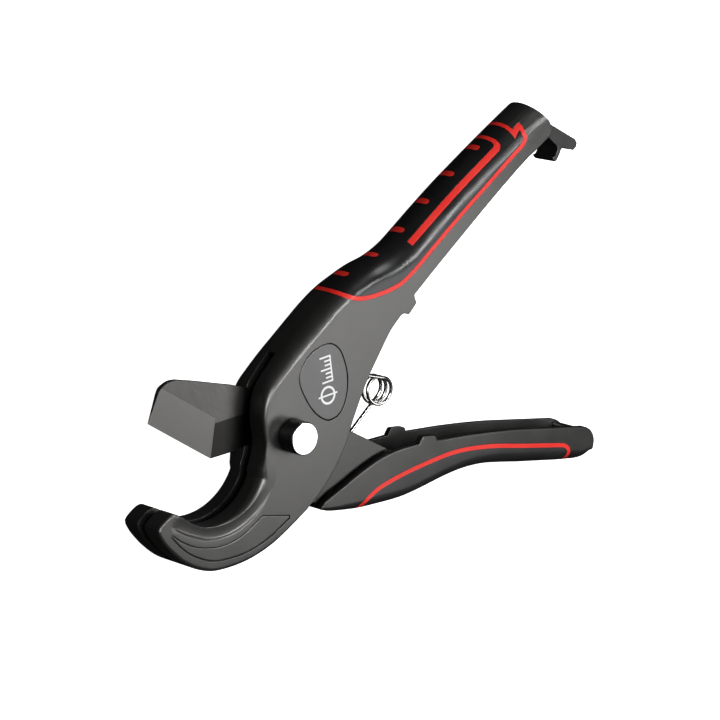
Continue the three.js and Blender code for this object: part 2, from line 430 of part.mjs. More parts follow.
add('spring_anchor_pin', disc(ANCHOR[0], ANCHOR[1], 1.2, 1.4, W - 1.4, 20), 0x9a9a9d, 0.35, 0.9);

// ---------------------------------------------------------------- catch at the end of the upper handle
const CP = (r, a) => [CATCH_P[0] + r * Math.cos(a * Math.PI / 180), CATCH_P[1] + r * Math.sin(a * Math.PI / 180)];
const catchOutline = [
  ...arc(CATCH_P[0], CATCH_P[1], 3.2, 250, 90, 12), [144.0, 9.6], [147.6, 5.0], [149.6, 1.0], [151.8, -3.6], [154.4, -9.0], [154.2, -10.6], [153.0, -11.5], [151.4, -11.4],
  [149.2, -8.6], [148.2, -7.4], CP(16.4, -61.5), CP(16.5, -66), CP(16.5, -71), CP(16.6, -75), CP(16.2, -77.6), CP(15.2, -78.2), CP(14.4, -77.0), CP(14.3, -75.4), CP(14.9, -73.6), CP(14.9, -69), CP(14.9, -64), CP(14.5, -60.6),
  CP(13.4, -58), [145.6, -1.6], [144.6, 1.0], [142.4, 3.4],
];
let catchSolid = prism(catchOutline, CATCH0, CATCH1).subtract(disc(CATCH_P[0], CATCH_P[1], 1.65, 0, W, 24));
add('catch', catchSolid, 0x2c2d30, 0.45, 0.8);
add('catch_pin', disc(CATCH_P[0], CATCH_P[1], 1.45, 1.3, W - 1.3, 24), 0x9a9a9d, 0.35, 0.9);
add('latch_bar', disc(BAR[0], BAR[1], 1.1, 1.1, W - 1.1, 20), 0x9a9a9d, 0.35, 0.9);

export default root;
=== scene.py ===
"""Looks of the hand pipe cutter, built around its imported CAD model.

All shapes are worked out in millimetres in the tool's own axes (pivot at 0,0, +x along the
upper handle, +y towards its spine, z = 0 on the face the tool lies on) and then moved to the
frame's metres.
"""

import math

import bmesh
import bpy
import numpy as np
from mathutils import Matrix, Vector


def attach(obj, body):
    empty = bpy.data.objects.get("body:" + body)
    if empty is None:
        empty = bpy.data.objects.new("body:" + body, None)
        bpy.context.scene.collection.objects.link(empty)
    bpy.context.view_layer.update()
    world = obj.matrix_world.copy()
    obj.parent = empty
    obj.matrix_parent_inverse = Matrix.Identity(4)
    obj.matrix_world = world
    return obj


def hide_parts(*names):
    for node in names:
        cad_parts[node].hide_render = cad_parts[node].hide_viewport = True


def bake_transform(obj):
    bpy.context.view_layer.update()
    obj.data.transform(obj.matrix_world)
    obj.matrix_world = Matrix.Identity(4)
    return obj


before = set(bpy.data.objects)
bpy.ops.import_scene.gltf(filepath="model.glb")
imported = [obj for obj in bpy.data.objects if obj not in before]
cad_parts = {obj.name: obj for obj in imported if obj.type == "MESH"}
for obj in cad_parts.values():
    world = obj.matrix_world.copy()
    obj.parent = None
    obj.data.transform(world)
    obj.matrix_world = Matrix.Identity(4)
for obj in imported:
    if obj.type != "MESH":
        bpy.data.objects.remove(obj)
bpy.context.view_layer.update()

# ------------------------------------------------------------------ driving sizes, tool mm
W = 18.6
WALL = 2.4
CHEEK = 2.5
NECK0, NECK1 = 2.8, 15.8
SLOT0, SLOT1 = 7.5, 11.1
BLADE0, BLADE1 = 8.3, 10.3
MID = 9.3
PIN_R, HEAD_R, PIN_TOP = 5.1, 5.55, 25.6
WIRE = 0.65
COIL_R = 4.55
COIL = (38.4, -18.4)
ANCHOR = (23.0, 4.0)
LEG_TIP = (14.6, -25.4)
COIL_Z0, COIL_Z1 = 8.6, 14.8
CATCH_P = (139.2, 6.9)
CATCH0, CATCH1 = 4.3, 14.3
BAR = (96.16, -94.51)
RIVET = (3.6, -14.6)
GRIP = 0.85
GAP = 0.15
PIPE = 1.5
ORIGIN = (48.1, -29.0569)
TO_FRAME = Matrix.Scale(0.001, 4) @ Matrix.Translation((-ORIGIN[0], -ORIGIN[1], 0))


def at(x, y, z):
    """Tool mm to frame metres."""
    return Vector(((x - ORIGIN[0]) / 1000, (y - ORIGIN[1]) / 1000, z / 1000))


# ------------------------------------------------------------------ curves
def smooth(pts, n=4, closed=False):
    """Centripetal Catmull-Rom run through points of any number of columns (x, y used for spacing)."""
    P = [np.array(p, float) for p in pts]
    L = len(P)
    out = []
    spans = L if closed else L - 1
    for s in range(spans):
        p1, p2 = P[s % L], P[(s + 1) % L]
        p0 = P[(s - 1) % L] if (closed or s > 0) else 2 * P[0] - P[1]
        p3 = P[(s + 2) % L] if (closed or s + 2 < L) else 2 * P[L - 1] - P[L - 2]
        d = [max(float(np.sum((b[:2] - a[:2]) ** 2)) ** 0.25, 1e-4) for a, b in ((p0, p1), (p1, p2), (p2, p3))]
        t1 = ((p1 - p0) / d[0] - (p2 - p0) / (d[0] + d[1]) + (p2 - p1) / d[1]) * d[1]
        t2 = ((p2 - p1) / d[1] - (p3 - p1) / (d[1] + d[2]) + (p3 - p2) / d[2]) * d[1]
        for i in range(n):
            t = i / n
            out.append(p1 + t1 * t + (-3 * p1 + 3 * p2 - 2 * t1 - t2) * t * t + (2 * p1 - 2 * p2 + t1 + t2) * t ** 3)
    if not closed:
        out.append(P[-1])
    return [list(p) for p in out]


def arc(cx, cy, r, a0, a1, n):
    return [[cx + r * math.cos(math.radians(a0 + (a1 - a0) * i / n)), cy + r * math.sin(math.radians(a0 + (a1 - a0) * i / n))] for i in range(n + 1)]


def run_normals(run):
    """Normals to the right of an open run's direction."""
    out = []
    for i in range(len(run)):
        a, b = run[max(0, i - 1)], run[min(len(run) - 1, i + 1)]
        dx, dy = b[0] - a[0], b[1] - a[1]
        L = math.hypot(dx, dy)
        out.append((dy / L, -dx / L))
    return out


def offset_run(run, d):
    n = run_normals(run)
    return [[p[0] + n[i][0] * d, p[1] + n[i][1] * d] for i, p in enumerate(run)]


def cols(pts, depth, width):
    return [[p[0], p[1], depth, width] for p in pts]


def crown_points(runs):
    """Closed outline from open runs of (x, y, depth, width), each point with its inward normal."""
    pts = [list(p) for r in runs for p in r]
    keep = []
    for i, p in enumerate(pts):
        q = pts[(i + 1) % len(pts)]
        if math.hypot(p[0] - q[0], p[1] - q[1]) > 0.09:
            keep.append(p)
    out = []
    n = len(keep)
    for i, p in enumerate(keep):
        a, b = keep[i - 1], keep[(i + 1) % n]
        u = np.array([p[0] - a[0], p[1] - a[1]])
        v = np.array([b[0] - p[0], b[1] - p[1]])
        u = u / np.linalg.norm(u)
        v = v / np.linalg.norm(v)
        t = u + v
        if np.linalg.norm(t) < 1e-6:
            t = v
        t = t / np.linalg.norm(t)
        out.append([p[0], p[1], p[2], p[3], t[1], -t[0]] if len(p) < 6 else list(p))
    return out


# ------------------------------------------------------------------ solids, in tool mm
def mesh_object(name, verts, faces):
    me = bpy.data.meshes.new(name)
    me.from_pydata([tuple(map(float, v)) for v in verts], [], faces)
    ob = bpy.data.objects.new(name, me)
    bpy.context.scene.collection.objects.link(ob)
    return ob


def tidy_mesh(ob, dist=2e-4):
    bm = bmesh.new()
    bm.from_mesh(ob.data)
    bmesh.ops.remove_doubles(bm, verts=bm.verts, dist=dist)
    bmesh.ops.recalc_face_normals(bm, faces=bm.faces)
    bm.to_mesh(ob.data)
    bm.free()
    return ob


def crown(outline, z0, z1, steps=7, name="crown"):
    """Outline prism with quarter-ellipse edges; outline points are (x, y, depth, width, nx, ny)."""
    half = (z1 - z0) / 2
    rings = []
    for j in range(steps + 1):
        phi = (1 - j / steps) * math.pi / 2
        rings.append([(p[0] + p[4] * p[2] * (1 - math.cos(phi)), p[1] + p[5] * p[2] * (1 - math.cos(phi)), z0 + min(p[3], half) * (1 - math.sin(phi))) for p in outline])
    top = [[(x, y, z0 + z1 - z) for x, y, z in r] for r in reversed(rings)]
    rings = rings + top
    n = len(outline)
    verts = [v for r in rings for v in r]
    faces = []
    for j in range(len(rings) - 1):
        for i in range(n):
            a, b = j * n + i, j * n + (i + 1) % n
            faces.append((a, b, b + n, a + n))
    faces.append(tuple(range(n - 1, -1, -1)))
    faces.append(tuple(range((len(rings) - 1) * n, len(rings) * n)))
    return tidy_mesh(mesh_object(name, verts, faces))


def prism(pts, z0, z1, name="prism"):
    n = len(pts)
    verts = [(p[0], p[1], z0) for p in pts] + [(p[0], p[1], z1) for p in pts]
    faces = [(i, (i + 1) % n, n + (i + 1) % n, n + i) for i in range(n)]
    faces += [tuple(range(n - 1, -1, -1)), tuple(range(n, 2 * n))]
    return tidy_mesh(mesh_object(name, verts, faces))


def prism_y(pts, y0, y1, name="prism_y"):
    """Prism standing along Y, outline given in plan as (x, z)."""
    n = len(pts)
    verts = [(p[0], y0, p[1]) for p in pts] + [(p[0], y1, p[1]) for p in pts]
    faces = [(i, (i + 1) % n, n + (i + 1) % n, n + i) for i in range(n)]
    faces += [tuple(range(n - 1, -1, -1)), tuple(range(n, 2 * n))]
    return tidy_mesh(mesh_object(name, verts, faces))


def lathe(profile, x, y, n=96, name="lathe"):
    """Profile of (radius, z) turned about the vertical through x, y."""
    verts, faces = [], []
    for r, z in profile:
        for i in range(n):
            a = 2 * math.pi * i / n
            verts.append((x + r * math.cos(a), y + r * math.sin(a), z))
    m = len(profile)
    for j in range(m - 1):
        for i in range(n):
            a, b = j * n + i, j * n + (i + 1) % n
            faces.append((a, b, b + n, a + n))
    if profile[0][0] > 1e-6:
        faces.append(tuple(range(n - 1, -1, -1)))
    if profile[-1][0] > 1e-6:
        faces.append(tuple(range((m - 1) * n, m * n)))
    return tidy_mesh(mesh_object(name, verts, faces))


def disc(x, y, r, z0, z1, n=96, name="disc"):
    return lathe([(r, z0), (r, z1)], x, y, n, name)


def sweep(path, section, name="sweep", closed=False):
    """Section (list of (side, up)) carried along a plan path of (x, y, z, scale); up is +Z."""
    verts, faces = [], []
    n = len(path)
    for i, p in enumerate(path):
        a = path[i - 1] if (closed or i > 0) else p
        b = path[(i + 1) % n] if (closed or i < n - 1) else p
        dx, dy = b[0] - a[0], b[1] - a[1]
        L = math.hypot(dx, dy)
        nx, ny = dy / L, -dx / L
        s = p[3] if len(p) > 3 else 1
        for u, v in section:
            verts.append((p[0] + nx * u * s, p[1] + ny * u * s, p[2] + v * s))
    m = len(section)
    for i in range(n if closed else n - 1):
        k = (i + 1) % n
        for j in range(m):
            l = (j + 1) % m
            faces.append((i * m + j, k * m + j, k * m + l, i * m + l))
    if not closed:
        faces.append(tuple(range(m - 1, -1, -1)))
        faces.append(tuple(range((n - 1) * m, n * m)))
    return tidy_mesh(mesh_object(name, verts, faces))


def ellipse(a, b, n=16):
    return [(a * math.cos(2 * math.pi * i / n), b * math.sin(2 * math.pi * i / n)) for i in range(n)]


def combine(ob, other, op="DIFFERENCE", keep=False):
    """Boolean of two closed meshes; the second is used up unless kept."""
    m = ob.modifiers.new("b", "BOOLEAN")
    m.operation, m.object = op, other
    m.solver = "MANIFOLD"
    dg = bpy.context.evaluated_depsgraph_get()
    me = bpy.data.meshes.new_from_object(ob.evaluated_get(dg))
    if not len(me.vertices):
        m.solver = "EXACT"
        dg = bpy.context.evaluated_depsgraph_get()
        me = bpy.data.meshes.new_from_object(ob.evaluated_get(dg))
        print("exact boolean on", ob.name, other.name, len(me.vertices))
    ob.modifiers.clear()
    old = ob.data
    ob.data = me
    bpy.data.meshes.remove(old)
    if not keep:
        drop(other)
    return ob


def drop(ob):
    me = ob.data
    bpy.data.objects.remove(ob)
    if me.users == 0:
        bpy.data.meshes.remove(me)


def copy_of(ob, name="copy"):
    c = ob.copy()
    c.data = ob.data.copy()
    c.name = name
    bpy.context.scene.collection.objects.link(c)
    return c


def cut(ob, *others):
    for o in others:
        combine(ob, o)
    return ob


def join(ob, *others):
    for o in others:
        combine(ob, o, "UNION")
    return ob


# ------------------------------------------------------------------ materials
def new_material(name):
    m = bpy.data.materials.new(name)
    m.use_nodes = True
    nt = m.node_tree
    for n in list(nt.nodes):
        if n.type not in ("BSDF_PRINCIPLED", "OUTPUT_MATERIAL"):
            nt.nodes.remove(n)
    p = next(n for n in nt.nodes if n.type == "BSDF_PRINCIPLED")
    return m, nt, p


def node(nt, kind, **values):
    n = nt.nodes.new(kind)
    for k, v in values.items():
        if k.startswith("in_"):
            n.inputs[k[3:].replace("_", " ")].default_value = v
        else:
            setattr(n, k, v)
    return n


def coords(nt, scale=(1000, 1000, 1000), rotation=(0, 0, 0)):
    tc = node(nt, "ShaderNodeTexCoord")
    mp = node(nt, "ShaderNodeMapping")
    mp.inputs["Scale"].default_value = scale
    mp.inputs["Rotation"].default_value = rotation
    nt.links.new(tc.outputs["Object"], mp.inputs["Vector"])
    return mp.outputs["Vector"]


def noise(nt, vec, scale, detail=3.0, rough=0.55):
    n = node(nt, "ShaderNodeTexNoise")
    n.inputs["Scale"].default_value = scale
    n.inputs["Detail"].default_value = detail
    n.inputs["Roughness"].default_value = rough
    nt.links.new(vec, n.inputs["Vector"])
    return n.outputs["Fac"]


def ramp(nt, fac, lo, hi, a, b):
    """fac remapped from lo..hi to a..b, clamped."""
    r = node(nt, "ShaderNodeMapRange")
    r.inputs["From Min"].default_value = lo
    r.inputs["From Max"].default_value = hi
    r.inputs["To Min"].default_value = a
    r.inputs["To Max"].default_value = b
    nt.links.new(fac, r.inputs["Value"])
    return r.outputs["Result"]


def mixed_colour(nt, fac, a, b):
    m = node(nt, "ShaderNodeMix", data_type="RGBA")
    for s, c in ((6, a), (7, b)):
        if isinstance(c, (tuple, list)):
            m.inputs[s].default_value = (*c, 1)
        else:
            nt.links.new(c, m.inputs[s])
    nt.links.new(fac, m.inputs[0])
    return m.outputs[2]


def edge_mask(nt, radius, lo=0.02, hi=0.3):
    """1 on convex and concave edges within radius metres, from the rounded normal."""
    bv = node(nt, "ShaderNodeBevel", samples=6)
    bv.inputs["Radius"].default_value = radius
    geo = node(nt, "ShaderNodeNewGeometry")
    dot = node(nt, "ShaderNodeVectorMath", operation="DOT_PRODUCT")
    nt.links.new(bv.outputs["Normal"], dot.inputs[0])
    nt.links.new(geo.outputs["Normal"], dot.inputs[1])
    return ramp(nt, dot.outputs["Value"], 1 - lo, 1 - hi, 0, 1)


def surface(name, base, base2, rough, rough2, metallic=0.0, specular=0.5, coat=0.0, coat_rough=0.1,
            grain=0.0, grain_scale=2.2, wear_and_highlight=None, wear_and_highlight_amount=0.5, edge=0.00035, bump=0.1, blotch=0.06, round_edge=0.0, recess=0.0, meeting=0.0022):
    """Painted, moulded or metal surface: blotchy colour, broken-up gloss, fine grain, worn edges that are also
    lightened as a painted highlight, and painted shade in recesses and where other pieces meet.
    """
    m, nt, p = new_material(name)
    vec = coords(nt)
    big = noise(nt, vec, blotch, 4.0)
    fine = noise(nt, vec, grain_scale, 2.0)
    col = mixed_colour(nt, ramp(nt, big, 0.35, 0.65, 0, 1), base, base2)
    rg = ramp(nt, big, 0.35, 0.65, rough, rough2)
    if wear_and_highlight is not None:
        # the edges: worn, and also lightened as a painted highlight where a rounded edge would catch the lamps
        em = edge_mask(nt, edge, 0.08, 0.35)
        brk = ramp(nt, noise(nt, vec, 0.25, 4.0, 0.6), 0.3, 0.5, 0.25, 1)
        mul = node(nt, "ShaderNodeMath", operation="MULTIPLY")
        nt.links.new(em, mul.inputs[0])
        nt.links.new(brk, mul.inputs[1])
        amt = node(nt, "ShaderNodeMath", operation="MULTIPLY")
        nt.links.new(mul.outputs[0], amt.inputs[0])
        amt.inputs[1].default_value = wear_and_highlight_amount
        if recess:
            # edges deep between the cheeks get neither the wear nor the painted highlight
            tc = node(nt, "ShaderNodeTexCoord")
            across = node(nt, "ShaderNodeVectorMath", operation="DOT_PRODUCT")
            nt.links.new(tc.outputs["Object"], across.inputs[0])
            across.inputs[1].default_value = (0, 0, 1)
            off = node(nt, "ShaderNodeMath", operation="SUBTRACT")
            nt.links.new(across.outputs["Value"], off.inputs[0])
            off.inputs[1].default_value = W / 2000
            size = node(nt, "ShaderNodeMath", operation="ABSOLUTE")
            nt.links.new(off.outputs[0], size.inputs[0])
            reach = node(nt, "ShaderNodeMath", operation="MULTIPLY")
            nt.links.new(amt.outputs[0], reach.inputs[0])
            nt.links.new(ramp(nt, size.outputs[0], 0.004, 0.006, 0, 1), reach.inputs[1])
            amt = reach
        col = mixed_colour(nt, amt.outputs[0], col, wear_and_highlight)
    if recess:
        # painted shade: darker down in the piece's own channels, and right where another piece meets it
        own = node(nt, "ShaderNodeAmbientOcclusion", samples=8, only_local=True)
        own.inputs["Distance"].default_value = recess
        meet = node(nt, "ShaderNodeAmbientOcclusion", samples=8)
        meet.inputs["Distance"].default_value = meeting
        both = node(nt, "ShaderNodeMath", operation="MULTIPLY")
        nt.links.new(ramp(nt, own.outputs["AO"], 0.2, 0.75, 0, 1), both.inputs[0])
        nt.links.new(ramp(nt, meet.outputs["AO"], 0.3, 0.8, 0, 1), both.inputs[1])
        col = mixed_colour(nt, both.outputs[0], tuple(c * 0.04 for c in base), col)
        p.inputs["Specular IOR Level"].default_value = 0.3
    nt.links.new(col, p.inputs["Base Color"])
    add = node(nt, "ShaderNodeMath", operation="MULTIPLY_ADD")
    nt.links.new(fine, add.inputs[0])
    add.inputs[1].default_value = 0.06
    nt.links.new(rg, add.inputs[2])
    nt.links.new(add.outputs[0], p.inputs["Roughness"])
    p.inputs["Metallic"].default_value = metallic
    p.inputs["Specular IOR Level"].default_value = specular
    p.inputs["Coat Weight"].default_value = coat
    p.inputs["Coat Roughness"].default_value = coat_rough
    normal = None
    if round_edge:
        bv = node(nt, "ShaderNodeBevel", samples=6)
        bv.inputs["Radius"].default_value = round_edge
        normal = bv.outputs["Normal"]
    if grain:
        b = node(nt, "ShaderNodeBump")
        b.inputs["Strength"].default_value = bump
        b.inputs["Distance"].default_value = grain
        nt.links.new(fine, b.inputs["Height"])
        if normal is not None:
            nt.links.new(normal, b.inputs["Normal"])
        normal = b.outputs["Normal"]
    if normal is not None:
        nt.links.new(normal, p.inputs["Normal"])
    return m


def brushed(name, base, base2, rough, metallic=1.0, knife=False, along=(0.12, 3.0, 3.0), rotation=(0, 0, 0), strength=0.12, wear_and_highlight=None, anisotropic=0.4, round_edge=0.00015):
    """Ground or drawn metal: fine lines along one direction; on the knife also painted shade and highlight on its
    facets and painted shade at its root.
    """
    m, nt, p = new_material(name)
    vec = coords(nt, tuple(1000 * a for a in along), rotation)
    line = noise(nt, vec, 1.0, 4.0, 0.6)
    blot = noise(nt, coords(nt), 0.09, 4.0)
    col = mixed_colour(nt, ramp(nt, blot, 0.35, 0.65, 0, 1), base, base2)
    line_col = mixed_colour(nt, ramp(nt, line, 0.3, 0.7, 0, 1), col, tuple(c * 0.94 for c in base))
    if wear_and_highlight is not None:
        line_col = mixed_colour(nt, edge_mask(nt, 0.00035), line_col, wear_and_highlight)
    if knife:
        tc = node(nt, "ShaderNodeTexCoord")
        # painted shade: the grind facet turned away from the lamps is darkened
        facing = node(nt, "ShaderNodeVectorMath", operation="DOT_PRODUCT")
        nt.links.new(tc.outputs["Normal"], facing.inputs[0])
        facing.inputs[1].default_value = (-0.488, -0.873, 0)
        line_col = mixed_colour(nt, ramp(nt, facing.outputs["Value"], 0.055, 0.07, 0, 1), line_col, tuple(c * 0.42 for c in base))
        # painted highlight: the facet turned towards the lamps is lightened
        facing = node(nt, "ShaderNodeVectorMath", operation="DOT_PRODUCT")
        nt.links.new(tc.outputs["Normal"], facing.inputs[0])
        facing.inputs[1].default_value = (-0.924, 0.383, 0)
        line_col = mixed_colour(nt, ramp(nt, facing.outputs["Value"], 0.03, 0.05, 0, 1), line_col, tuple(c * 1.9 for c in base))
        # painted shade: darker towards the root, where the knife goes in between the cheeks
        root = node(nt, "ShaderNodeVectorMath", operation="DOT_PRODUCT")
        nt.links.new(tc.outputs["Object"], root.inputs[0])
        root.inputs[1].default_value = (780, -620, 0)
        line_col = mixed_colour(nt, ramp(nt, root.outputs["Value"], KNIFE_ROOT_SHADE[0], KNIFE_ROOT_SHADE[1], 0, 1), line_col, (0.004, 0.004, 0.004))
    nt.links.new(line_col, p.inputs["Base Color"])
    nt.links.new(ramp(nt, line, 0.3, 0.7, rough * 0.85, rough * 1.2), p.inputs["Roughness"])
    p.inputs["Metallic"].default_value = metallic
    b = node(nt, "ShaderNodeBump")
    b.inputs["Strength"].default_value = strength
    b.inputs["Distance"].default_value = 0.00003
    nt.links.new(line, b.inputs["Height"])
    if round_edge:
        bv = node(nt, "ShaderNodeBevel", samples=4)
        bv.inputs["Radius"].default_value = round_edge
        nt.links.new(bv.outputs["Normal"], b.inputs["Normal"])
    nt.links.new(b.outputs["Normal"], p.inputs["Normal"])
    return m


# where the knife is painted darker, as shade, on its way into the cheeks, measured along (0.78, -0.62)
KNIFE_ROOT_SHADE = [0.78 * (x - ORIGIN[0]) - 0.62 * (y - ORIGIN[1]) for x, y in ((-15.5, 14.0), (-9.0, 9.5))]
M = {
    # cast enamel whose worn edges carry a painted highlight, with painted shade in its channels and where other pieces
    # meet it
    "painted_metal_dark": surface("cast_enamel", (0.112, 0.112, 0.109), (0.13, 0.129, 0.125), 0.3, 0.36, metallic=0.9, specular=0.5,
                                  grain=0.00002, grain_scale=5.5, wear_and_highlight=(0.5, 0.5, 0.5), wear_and_highlight_amount=0.5, edge=0.0003, bump=0.12, round_edge=0.00022, recess=0.009),
    # the body's cast enamel again, its base colour darkened as painted shade on the lower handle, and its painted
    # shade reaching further where other pieces meet it
    "lever_metal_painted_shade": surface("cast_enamel_lever_painted_shade", (0.092, 0.092, 0.09), (0.108, 0.107, 0.104), 0.3, 0.36, metallic=0.9, specular=0.5,
                           grain=0.00002, grain_scale=5.5, wear_and_highlight=(0.5, 0.5, 0.5), wear_and_highlight_amount=0.5, edge=0.0003, bump=0.12, round_edge=0.00022, recess=0.009,
                           meeting=0.008),
    "grip_black": surface("moulded_black", (0.05, 0.05, 0.051), (0.06, 0.06, 0.061), 0.24, 0.3, metallic=0.85, specular=0.5,
                          grain=0.00003, grain_scale=3.2, bump=0.1, round_edge=0.0002),
    "grip_grey": surface("moulded_grey", (0.08, 0.08, 0.081), (0.09, 0.09, 0.091), 0.34, 0.4, metallic=0.85, specular=0.45,
                         grain=0.00004, grain_scale=2.6, bump=0.14, round_edge=0.0002),
    "piping_red": surface("moulded_red", (0.82, 0.022, 0.016), (0.88, 0.034, 0.024), 0.36, 0.42, specular=0.5,
                          grain=0.00002, grain_scale=3.4, bump=0.08, round_edge=0.00015),
    "badge_metal": surface("badge_enamel", (0.12, 0.12, 0.121), (0.135, 0.135, 0.135), 0.3, 0.36, metallic=0.9,
                           grain=0.00002, grain_scale=6.0, wear_and_highlight=(0.35, 0.35, 0.35), wear_and_highlight_amount=0.4, bump=0.1, round_edge=0.00015),
    # the knife's ground steel, with painted shade and highlight on its facets and painted shade at its root
    "blade_steel": brushed("ground_steel", (0.12, 0.118, 0.114), (0.135, 0.132, 0.128), 0.4, along=(2.4, 0.3, 2.4), rotation=(0, 0, math.radians(23)), strength=0.03, knife=True),
    "pin_steel": brushed("turned_steel", (0.42, 0.42, 0.43), (0.5, 0.5, 0.5), 0.3),
    "washer_steel": brushed("washer_steel", (0.4, 0.36, 0.26), (0.46, 0.42, 0.3), 0.35),
    "clip_steel": brushed("clip_steel", (0.12, 0.12, 0.125), (0.17, 0.17, 0.175), 0.35),
    "catch_metal": surface("catch_black", (0.07, 0.07, 0.07), (0.085, 0.085, 0.085), 0.34, 0.42, metallic=0.9,
                           grain=0.00002, grain_scale=5.0, wear_and_highlight=(0.3, 0.3, 0.3), wear_and_highlight_amount=0.5, bump=0.1, round_edge=0.00025),
}
M["spring_wire"] = brushed("drawn_wire", (0.7, 0.69, 0.68), (0.62, 0.61, 0.6), 0.16, along=(0.6, 0.6, 0.6), strength=0.05, round_edge=0)
M["pin_chrome"] = brushed("polished_pin", (0.93, 0.93, 0.94), (0.88, 0.88, 0.89), 0.14, along=(1.2, 1.2, 1.2), strength=0.04, round_edge=0.0001)
# painted reflection: the polished pin's barrel is coloured near-black for the dark room it mirrors
M["pin_dark_reflection"] = surface("blackened_pin", (0.002, 0.002, 0.002), (0.003, 0.003, 0.003), 0.3, 0.36, specular=0.3, grain=0.00002, grain_scale=5, bump=0.08)
M["print_white"] = surface("printed_white", (0.88, 0.88, 0.88), (0.82, 0.82, 0.82), 0.5, 0.58, grain=0.00001, grain_scale=8, bump=0.1)

WORLD_DARK, WORLD_LIGHT = 0.01, 0.05
MADE = {}


def finish_piece(ob, name, material, body, replaces=(), angle=32, weighted=True, planar=True):
    """Moves a solid from tool mm to the frame, shades it, and puts it on its body."""
    ob.name = ob.data.name = name
    bm = bmesh.new()
    bm.from_mesh(ob.data)
    bmesh.ops.remove_doubles(bm, verts=bm.verts, dist=0.004)
    bmesh.ops.dissolve_degenerate(bm, dist=0.004, edges=bm.edges)
    if planar:
        bmesh.ops.dissolve_limit(bm, angle_limit=math.radians(0.4), verts=bm.verts, edges=bm.edges, delimit={"NORMAL"})
        bmesh.ops.triangulate(bm, faces=[f for f in bm.faces if len(f.verts) > 4], quad_method="BEAUTY", ngon_method="BEAUTY")
    bmesh.ops.recalc_face_normals(bm, faces=bm.faces)
    bm.transform(TO_FRAME)
    bm.to_mesh(ob.data)
    bm.free()
    ob.data.polygons.foreach_set("use_smooth", [True] * len(ob.data.polygons))
    ob.data.set_sharp_from_angle(angle=math.radians(angle))
    if weighted:
        w = ob.modifiers.new("weighted", "WEIGHTED_NORMAL")
        w.keep_sharp, w.weight = True, 60
    ob.data.materials.clear()
    ob.data.materials.append(M[material])
    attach(ob, body)
    if replaces:
        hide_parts(*replaces)
    MADE[name] = ob
    return ob


# ------------------------------------------------------------------ outline of the body
spine_cols = [
    [-16.2, -0.9, 2.6, 3.4], [-12.2, 1.9, 0.65, 1.2], [-9.2, 5.0, 0.8, 0.9], [-7.3, 8.6, 0.95, 1.1], [-5.0, 12.4, 1.3, 1.6],
    [-1.8, 16.0, 1.9, 2.6], [2.6, 18.8, 2.8, 4.0], [8.0, 20.2, 3.6, 5.2], [14.5, 21.3, 4.2, 6.0], [22, 22.0, 4.6, 6.5],
    [29, 22.5, 4.6, 6.8], [37, 23.0, 4.7, 7.2], [44.5, 22.9, 4.9, 7.7], [52, 21.8, 5.4, 8.3], [58.5, 20.5, 6.0, 8.9],
    [66, 18.2, 7.0, 9.3], [73, 17.2, 7.6, 9.3], [80, 17.3, 7.9, 9.3], [90, 17.6, 8, 9.3], [102, 17.7, 8, 9.3],
    [114, 17.4, 8, 9.3], [127, 16.9, 8, 9.3], [138, 16.3, 8, 9.3], [146, 15.8, 8, 9.3],
]
spine_run = smooth(spine_cols, 8)
for _p in spine_run:
    _p[3] = min(_p[3], W / 2)
_nn = run_normals(spine_run)
spine_run = [[p[0], p[1], p[2], p[3], n[0], n[1]] for p, n in zip(spine_run, _nn)]
for _i, _p in enumerate(spine_run[-17:]):
    f = min(1.0, _i / 8)
    nx, ny = _p[4] * (1 - f), _p[5] * (1 - f) - f
    L = math.hypot(nx, ny)
    _p[4], _p[5] = nx / L, ny / L
SMALL = (0.4, 0.45)
handle_end = cols([[146, 6.6], [145.8, 5.3], [145.2, 4.0], [144.2, 3.1], [142.4, 2.95], [140.2, 3.1]], *SMALL)
underside = cols(smooth([[138.2, 3.2], [129.5, 3.7], [118, 3.55], [108.4, 3.2], [87.6, 2.1], [76, 1.4], [66.2, 0.7]], 6), *SMALL) \
    + cols([[65.8, -0.1], [65.5, -1.3], [65.3, -2.0], [64.7, -2.3], [61.0, -3.0], [60.4, -2.9], [59.8, -2.0], [59.0, -1.25]], *SMALL) \
    + cols(smooth([[57.8, -0.9], [52, -1.75], [47.8, -3.1], [41.6, -5.4], [36.6, -7.3], [31.6, -9.5], [26, -12.5], [21.4, -15.1],
                   [15.5, -18.7], [9.5, -21.3], [3, -23.3], [-4, -24.6]], 6), *SMALL)
lower_jaw = smooth([
    [-10, -25.1, 0.5, 0.6], [-17.1, -25.1, 1, 1.2], [-27, -24.3, 1.4, 1.6], [-36.8, -21.4, 1.4, 1.6], [-45.4, -16.8, 1.4, 1.6], [-50.6, -12.6, 1.4, 1.6],
    [-55.2, -5.6, 1.3, 1.5], [-57.3, 1.0, 1.2, 1.4], [-58.2, 8.6, 1, 1.2], [-57.9, 12.2, 0.9, 1.1],
], 8)
jaw_tip = smooth([[-57.2, 13.5, 0.8, 1], [-55.8, 14.0, 0.8, 1], [-51, 13.9, 0.8, 1], [-49.4, 13.2, 0.8, 1], [-48.4, 11.7, 0.7, 0.8]], 6)
hook_inside = cols(smooth([[-47.5, 9.6], [-46.7, 6.9], [-45.8, 4.6], [-44.6, 2.4], [-43.05, 0.55]], 5)[:-1] + arc(-28.2, 15.4, 21, 225, 301, 64), 0.6, 0.7)
# the rounding of the throat edge widens towards the cheek
for p in hook_inside:
    t = math.degrees(math.atan2(p[1] - 15.4, p[0] + 28.2)) % 360 - 232
    if t > 0:
        p[2], p[3] = 0.6 + 2.4 * t / 69, 0.7 + 3.1 * t / 69
body_outline = crown_points([spine_run, handle_end, underside, lower_jaw, jaw_tip, hook_inside])


